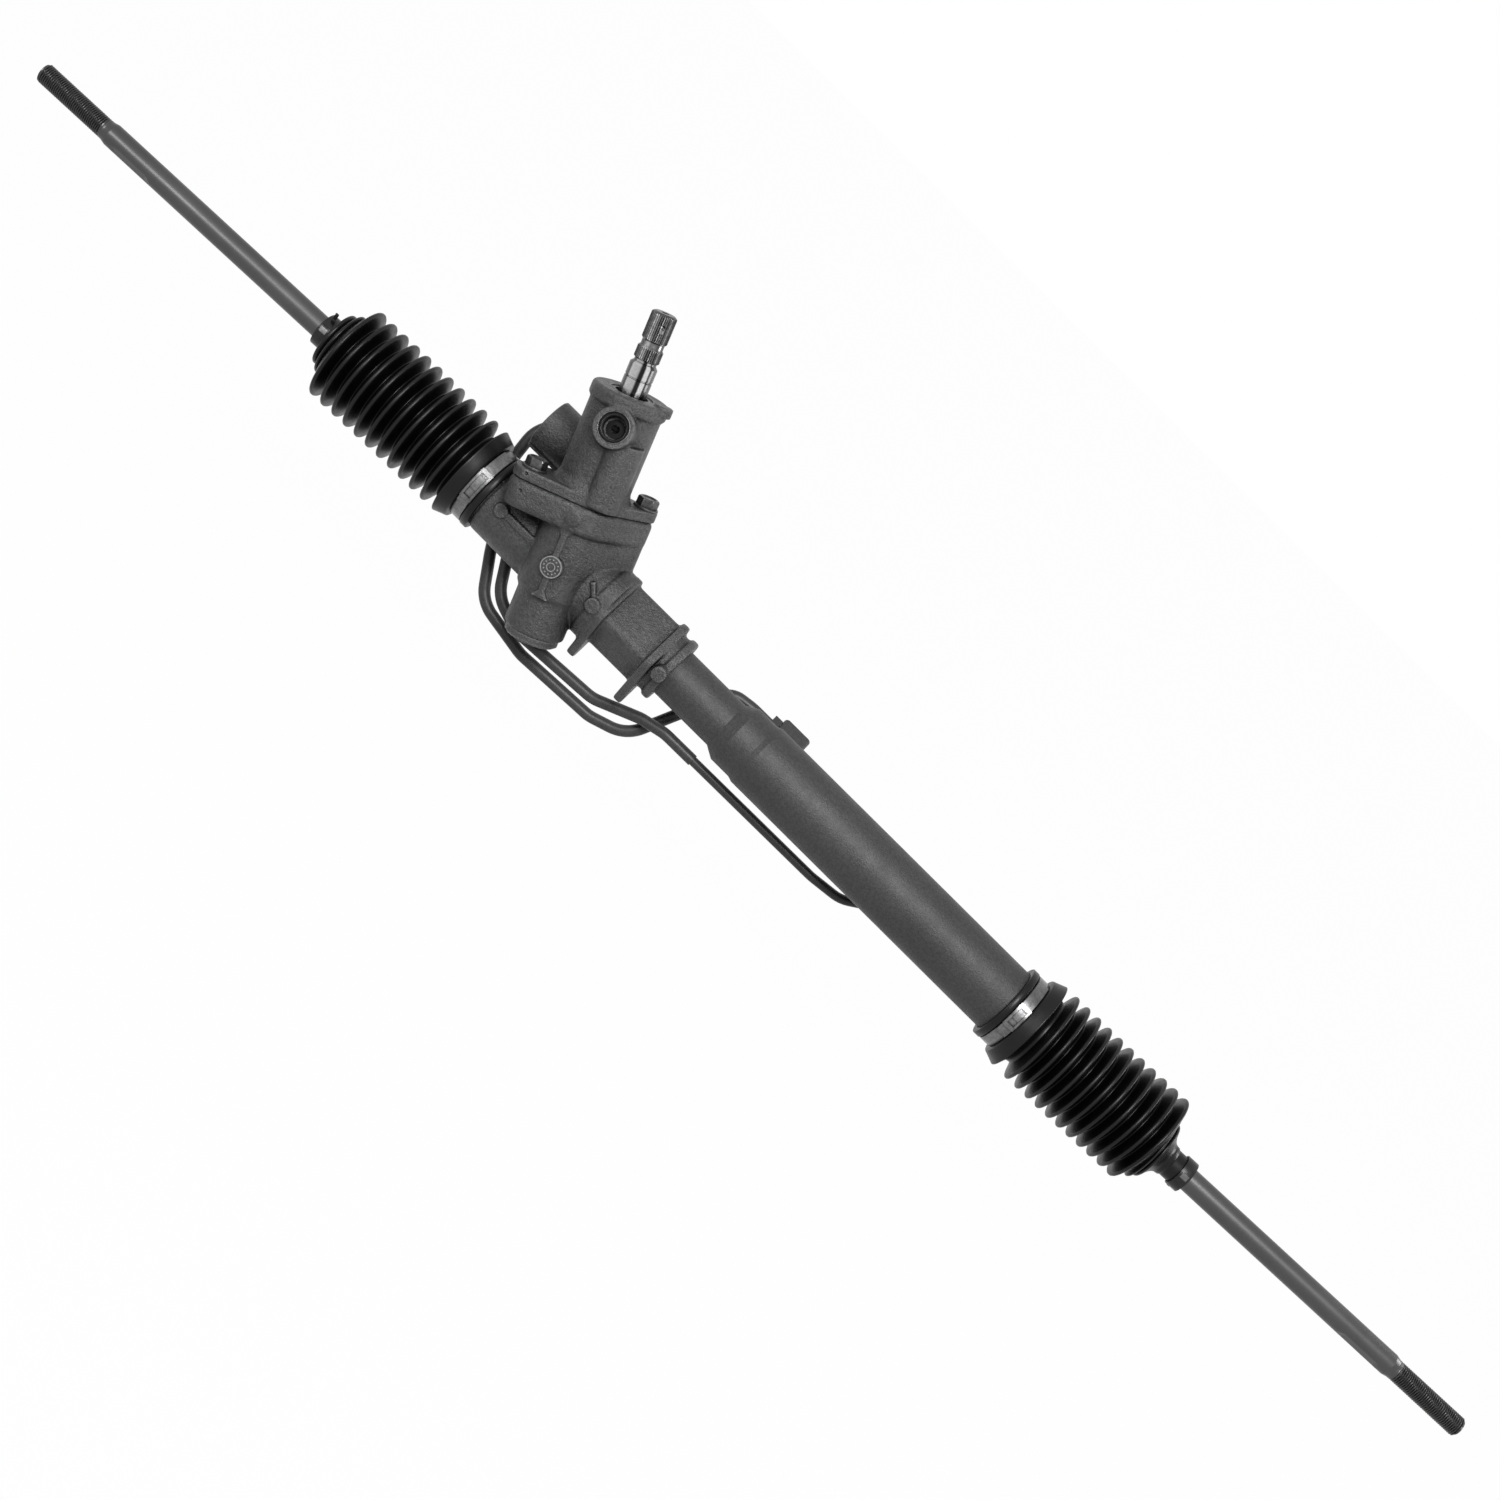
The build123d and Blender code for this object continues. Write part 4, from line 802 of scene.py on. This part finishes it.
# The cones' outsides, as (distance from the last ring, radius).
CONES = {
    "left": [(0, 21.0), (0.9, 20.8), (1.8, 22.9), (2.9, 23.4), (3.9, 22.8), (4.6, 18.2),
             (5.3, 16.8), (5.9, 18.6), (6.8, 19.8), (8.4, 19.7), (9.1, 18.8), (9.4, 12.4)],
    "right": [(0, 21.0), (0.5, 21.2), (0.9, 24.6), (1.5, 25.4), (2.4, 24.8), (3.2, 20.4),
              (3.7, 20.2), (4.2, 21.3), (5.1, 21.7), (6.1, 21.1), (8.3, 16.2), (10.6, 12.9),
              (12.6, 11.3)],
}


def boot_profile(side):
    """The boot's wall, inside and outside, as (distance outwards from the lip, radius)."""
    pitch = RING_PITCH[side]
    first = abs(FIRST_RING[side] - LIPS[side])
    end = RINGS * pitch + first - pitch
    outer = [(0, 24.2), (0, 27.4), (0.3, 27.8), (4.4, 27.8), (4.8, 27.4), (4.9, 26.45),
             (13.6, 26.45), (13.9, 27.0), (14.1, 30.2), (14.3, 30.8), (14.8, 31.1), (18.0, 32.3),
             (22.0, 33.9), (22.5, 34.1), (22.9, 34.1), (23.2, 33.7), (24.3, 30.6), (26.0, 26.2)]
    inner = [(0, 24.0), (6, 23.6), (14, 23.55), (16.5, 25.5), (20.5, 30.6), (22.4, 31.8),
             (23.2, 29.5), (24.6, 25.6), (26.3, 24.5)]
    wave = [(-0.5, VALLEY), (-0.46, VALLEY + 0.3), (-0.33, VALLEY + 2.9), (-0.18, CREST - 2.3),
            (-0.15, CREST - 1.3), (-0.11, CREST - 0.5), (-0.05, CREST - 0.05),
            (0.05, CREST - 0.05), (0.11, CREST - 0.5), (0.15, CREST - 1.3), (0.18, CREST - 2.3),
            (0.33, VALLEY + 2.9), (0.46, VALLEY + 0.3)]
    hollow = [(-0.5, VALLEY - WALL), (-0.26, VALLEY + 0.6), (-0.06, CREST - 4.0),
              (0.06, CREST - 4.0), (0.26, VALLEY + 0.6)]
    for ring in range(RINGS):
        centre = first + ring * pitch
        outer += [(centre + s * pitch, r) for s, r in wave]
        inner += [(centre + s * pitch, r) for s, r in hollow]
    outer += [(end + 0.44 * pitch, 22.4), (end + 0.5 * pitch, 21.0)]
    inner += [(end + 0.5 * pitch, 19.4)]
    return outer, inner


def cone_piece(side, name, wall):
    """A part of the boot beyond its rings, turned about the rod's axis at rest."""
    rod = rod_way(side)
    piece = finished(turned_mesh(name, BALLS[side], rod, wall, 88, closed=True),
                     name, "boot_rubber", smooth=None)
    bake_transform(piece)


for side, way in WAYS.items():
    outer, inner = boot_profile(side)
    end = outer[-1][0]
    name = f"{side}_bellows"
    mesh = turned_mesh(name, Vector((LIPS[side], 0, 0)), Vector((way, 0, 0)),
                       outer + inner[::-1], 88, closed=True)
    # The last turn meets the cone, which leans with the rod.
    co = coordinates(mesh)
    distance = np.abs(co[:, 0] - LIPS[side])
    lean = RING_LEAN[side] * np.clip((distance - 30) / (end - 30), 0, 1)
    lean += RING_START[side] * np.clip((distance - 22) / 10, 0, 1)
    co[:, 0] += way * co[:, 2] * np.tan(np.radians(lean))
    t = np.clip(distance / HANG_SPAN, 0, 1)
    co[:, 2] += HANG[side] * t * t
    mesh.vertices.foreach_set("co", co.ravel())
    bellows = finished(mesh, name, "boot_rubber", smooth=None)
    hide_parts(f"{side}_boot")
    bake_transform(bellows)

    # The cone, from the last ring, and the cuff on the rod, split halfway between them.
    reach = abs(LIPS[side] + way * end - BALLS[side].x)
    cuff_start, cuff_end = CUFFS[side]
    cone = [(reach + s, r) for s, r in CONES[side]]
    if side == "right":
        cone.append((cuff_start - 0.5, 10.9))
    cuff = [(cuff_start, 10.4), (cuff_start + 0.8, 10.0), (cuff_end - 0.8, 10.0),
            (cuff_end, 9.4), (cuff_end, CUFF_INSIDE)]
    middle = (reach + cuff_start) / 2
    cone = softened(cone, 0.8, 2)
    split = min(range(len(cone)), key=lambda i: abs(cone[i][0] - middle))
    inside = [(s, r - WALL) for s, r in cone]
    cuff_inside = [(s, max(r, CUFF_INSIDE)) for s, r in inside[split:]]
    cone_piece(side, f"{side}_boot_cone", cone[:split + 1] + inside[split::-1])
    cone_piece(side, f"{side}_boot_cuff",
               cone[split:] + softened(cuff, 0.4, 2) + cuff_inside[::-1])


# ---------------------------------------------------------------- stage, camera and light
CAMERA_UP = math.radians(17.0)
CAMERA_DISTANCE = 1.526
# Half the frame's width at the gear, in metres.
FRAME_HALF = 0.477
# The frame's right, as shares of the world's X and of the camera's upright: a roll of about
# 45 degrees.
ROLL_ACROSS = (0.7099, 0.7045)
AIM = Vector((0.1044, 0, -0.0006))
towards = Vector((0, -math.cos(CAMERA_UP), math.sin(CAMERA_UP)))
upright = Vector((0, math.sin(CAMERA_UP), math.cos(CAMERA_UP)))
right = (Vector((1, 0, 0)) * ROLL_ACROSS[0] + upright * ROLL_ACROSS[1]).normalized()
top = towards.cross(right).normalized()
camera = linked("camera", bpy.data.cameras.new("camera"))
camera.matrix_world = Matrix.Translation(AIM + towards * CAMERA_DISTANCE) @ Matrix(
    (right, top, towards)).transposed().to_4x4()
camera.data.sensor_fit = "AUTO"
camera.data.angle = 2 * math.atan(FRAME_HALF / CAMERA_DISTANCE)
camera.data.clip_start = 0.05
bpy.context.scene.camera = camera


def seen_white(tree):
    """1 for rays from the camera and from mirror-like surfaces, 0 for those that carry light."""
    path = tree.nodes.new("ShaderNodeLightPath")
    total = path.outputs["Is Camera Ray"]
    for name in ("Is Glossy Ray", "Is Transmission Ray"):
        node = tree.nodes.new("ShaderNodeMath")
        node.operation = "MAXIMUM"
        tree.links.new(total, node.inputs[0])
        tree.links.new(path.outputs[name], node.inputs[1])
        total = node.outputs[0]
    return total


# The gear hangs clear of the floor, so that a tie rod at its lowest stays above it.
FLOOR_GAP = 0.07
FLOOR_HALF = 6
WHITE_SHARE = 0.985
floor_height = cad_box[0][2] - FLOOR_GAP
corners = [(x * FLOOR_HALF, y * FLOOR_HALF, floor_height)
           for x, y in ((-1, -1), (1, -1), (1, 1), (-1, 1))]
floor_mesh = bpy.data.meshes.new("floor")
floor_mesh.from_pydata(corners, [], [(0, 1, 2, 3)])
floor = linked("floor", floor_mesh)
floor_paint = bpy.data.materials.new("floor_paint")
floor_paint.use_nodes = True
tree = floor_paint.node_tree
shader = tree.nodes["Principled BSDF"]
shader.inputs["Roughness"].default_value = 0.9
shader.inputs["Specular IOR Level"].default_value = 0.1
tree.links.new(ramp(tree, noise(tree, 3), [(0.3, 0.3), (0.7, 0.33)]), shader.inputs["Base Color"])
glow = tree.nodes.new("ShaderNodeEmission")
glow.inputs["Strength"].default_value = 1.0
seen = tree.nodes.new("ShaderNodeMixShader")
share = tree.nodes.new("ShaderNodeMath")
share.operation = "MULTIPLY"
share.inputs[1].default_value = WHITE_SHARE
tree.links.new(seen_white(tree), share.inputs[0])
tree.links.new(share.outputs[0], seen.inputs[0])
tree.links.new(shader.outputs[0], seen.inputs[1])
tree.links.new(glow.outputs[0], seen.inputs[2])
tree.links.new(seen.outputs[0], tree.nodes["Material Output"].inputs["Surface"])
floor_mesh.materials.append(floor_paint)

# What the white world gives as light, against what is seen of it.
AMBIENT = 0.08
world = bpy.data.worlds.new("world")
bpy.context.scene.world = world
world.use_nodes = True
tree = world.node_tree
background = tree.nodes["Background"]
background.inputs["Color"].default_value = (1, 1, 1, 1)
strength = tree.nodes.new("ShaderNodeMapRange")
strength.inputs["To Min"].default_value = AMBIENT
strength.inputs["To Max"].default_value = 1.0
tree.links.new(seen_white(tree), strength.inputs["Value"])
tree.links.new(strength.outputs["Result"], background.inputs["Strength"])


def lamp(name, place, size, power):
    """A soft lamp of a given width and height, aimed at the middle of the frame."""
    data = bpy.data.lights.new(name, "AREA")
    data.shape = "RECTANGLE"
    data.size, data.size_y = size
    data.energy = power
    thing = linked(name, data)
    thing.location = place
    aimed = (Vector(place) - AIM).normalized()
    thing.rotation_euler = aimed.to_track_quat("Z", "Y").to_euler()


lamp("key", (0.2, -1.35, 1.05), (0.9, 0.5), 42)
lamp("left_front", (-1.0, -1.3, 0.5), (0.4, 0.4), 7)
lamp("right_back", (1.15, 0.3, 0.45), (0.4, 0.4), 5)

bpy.context.scene.view_settings.view_transform = "Standard"
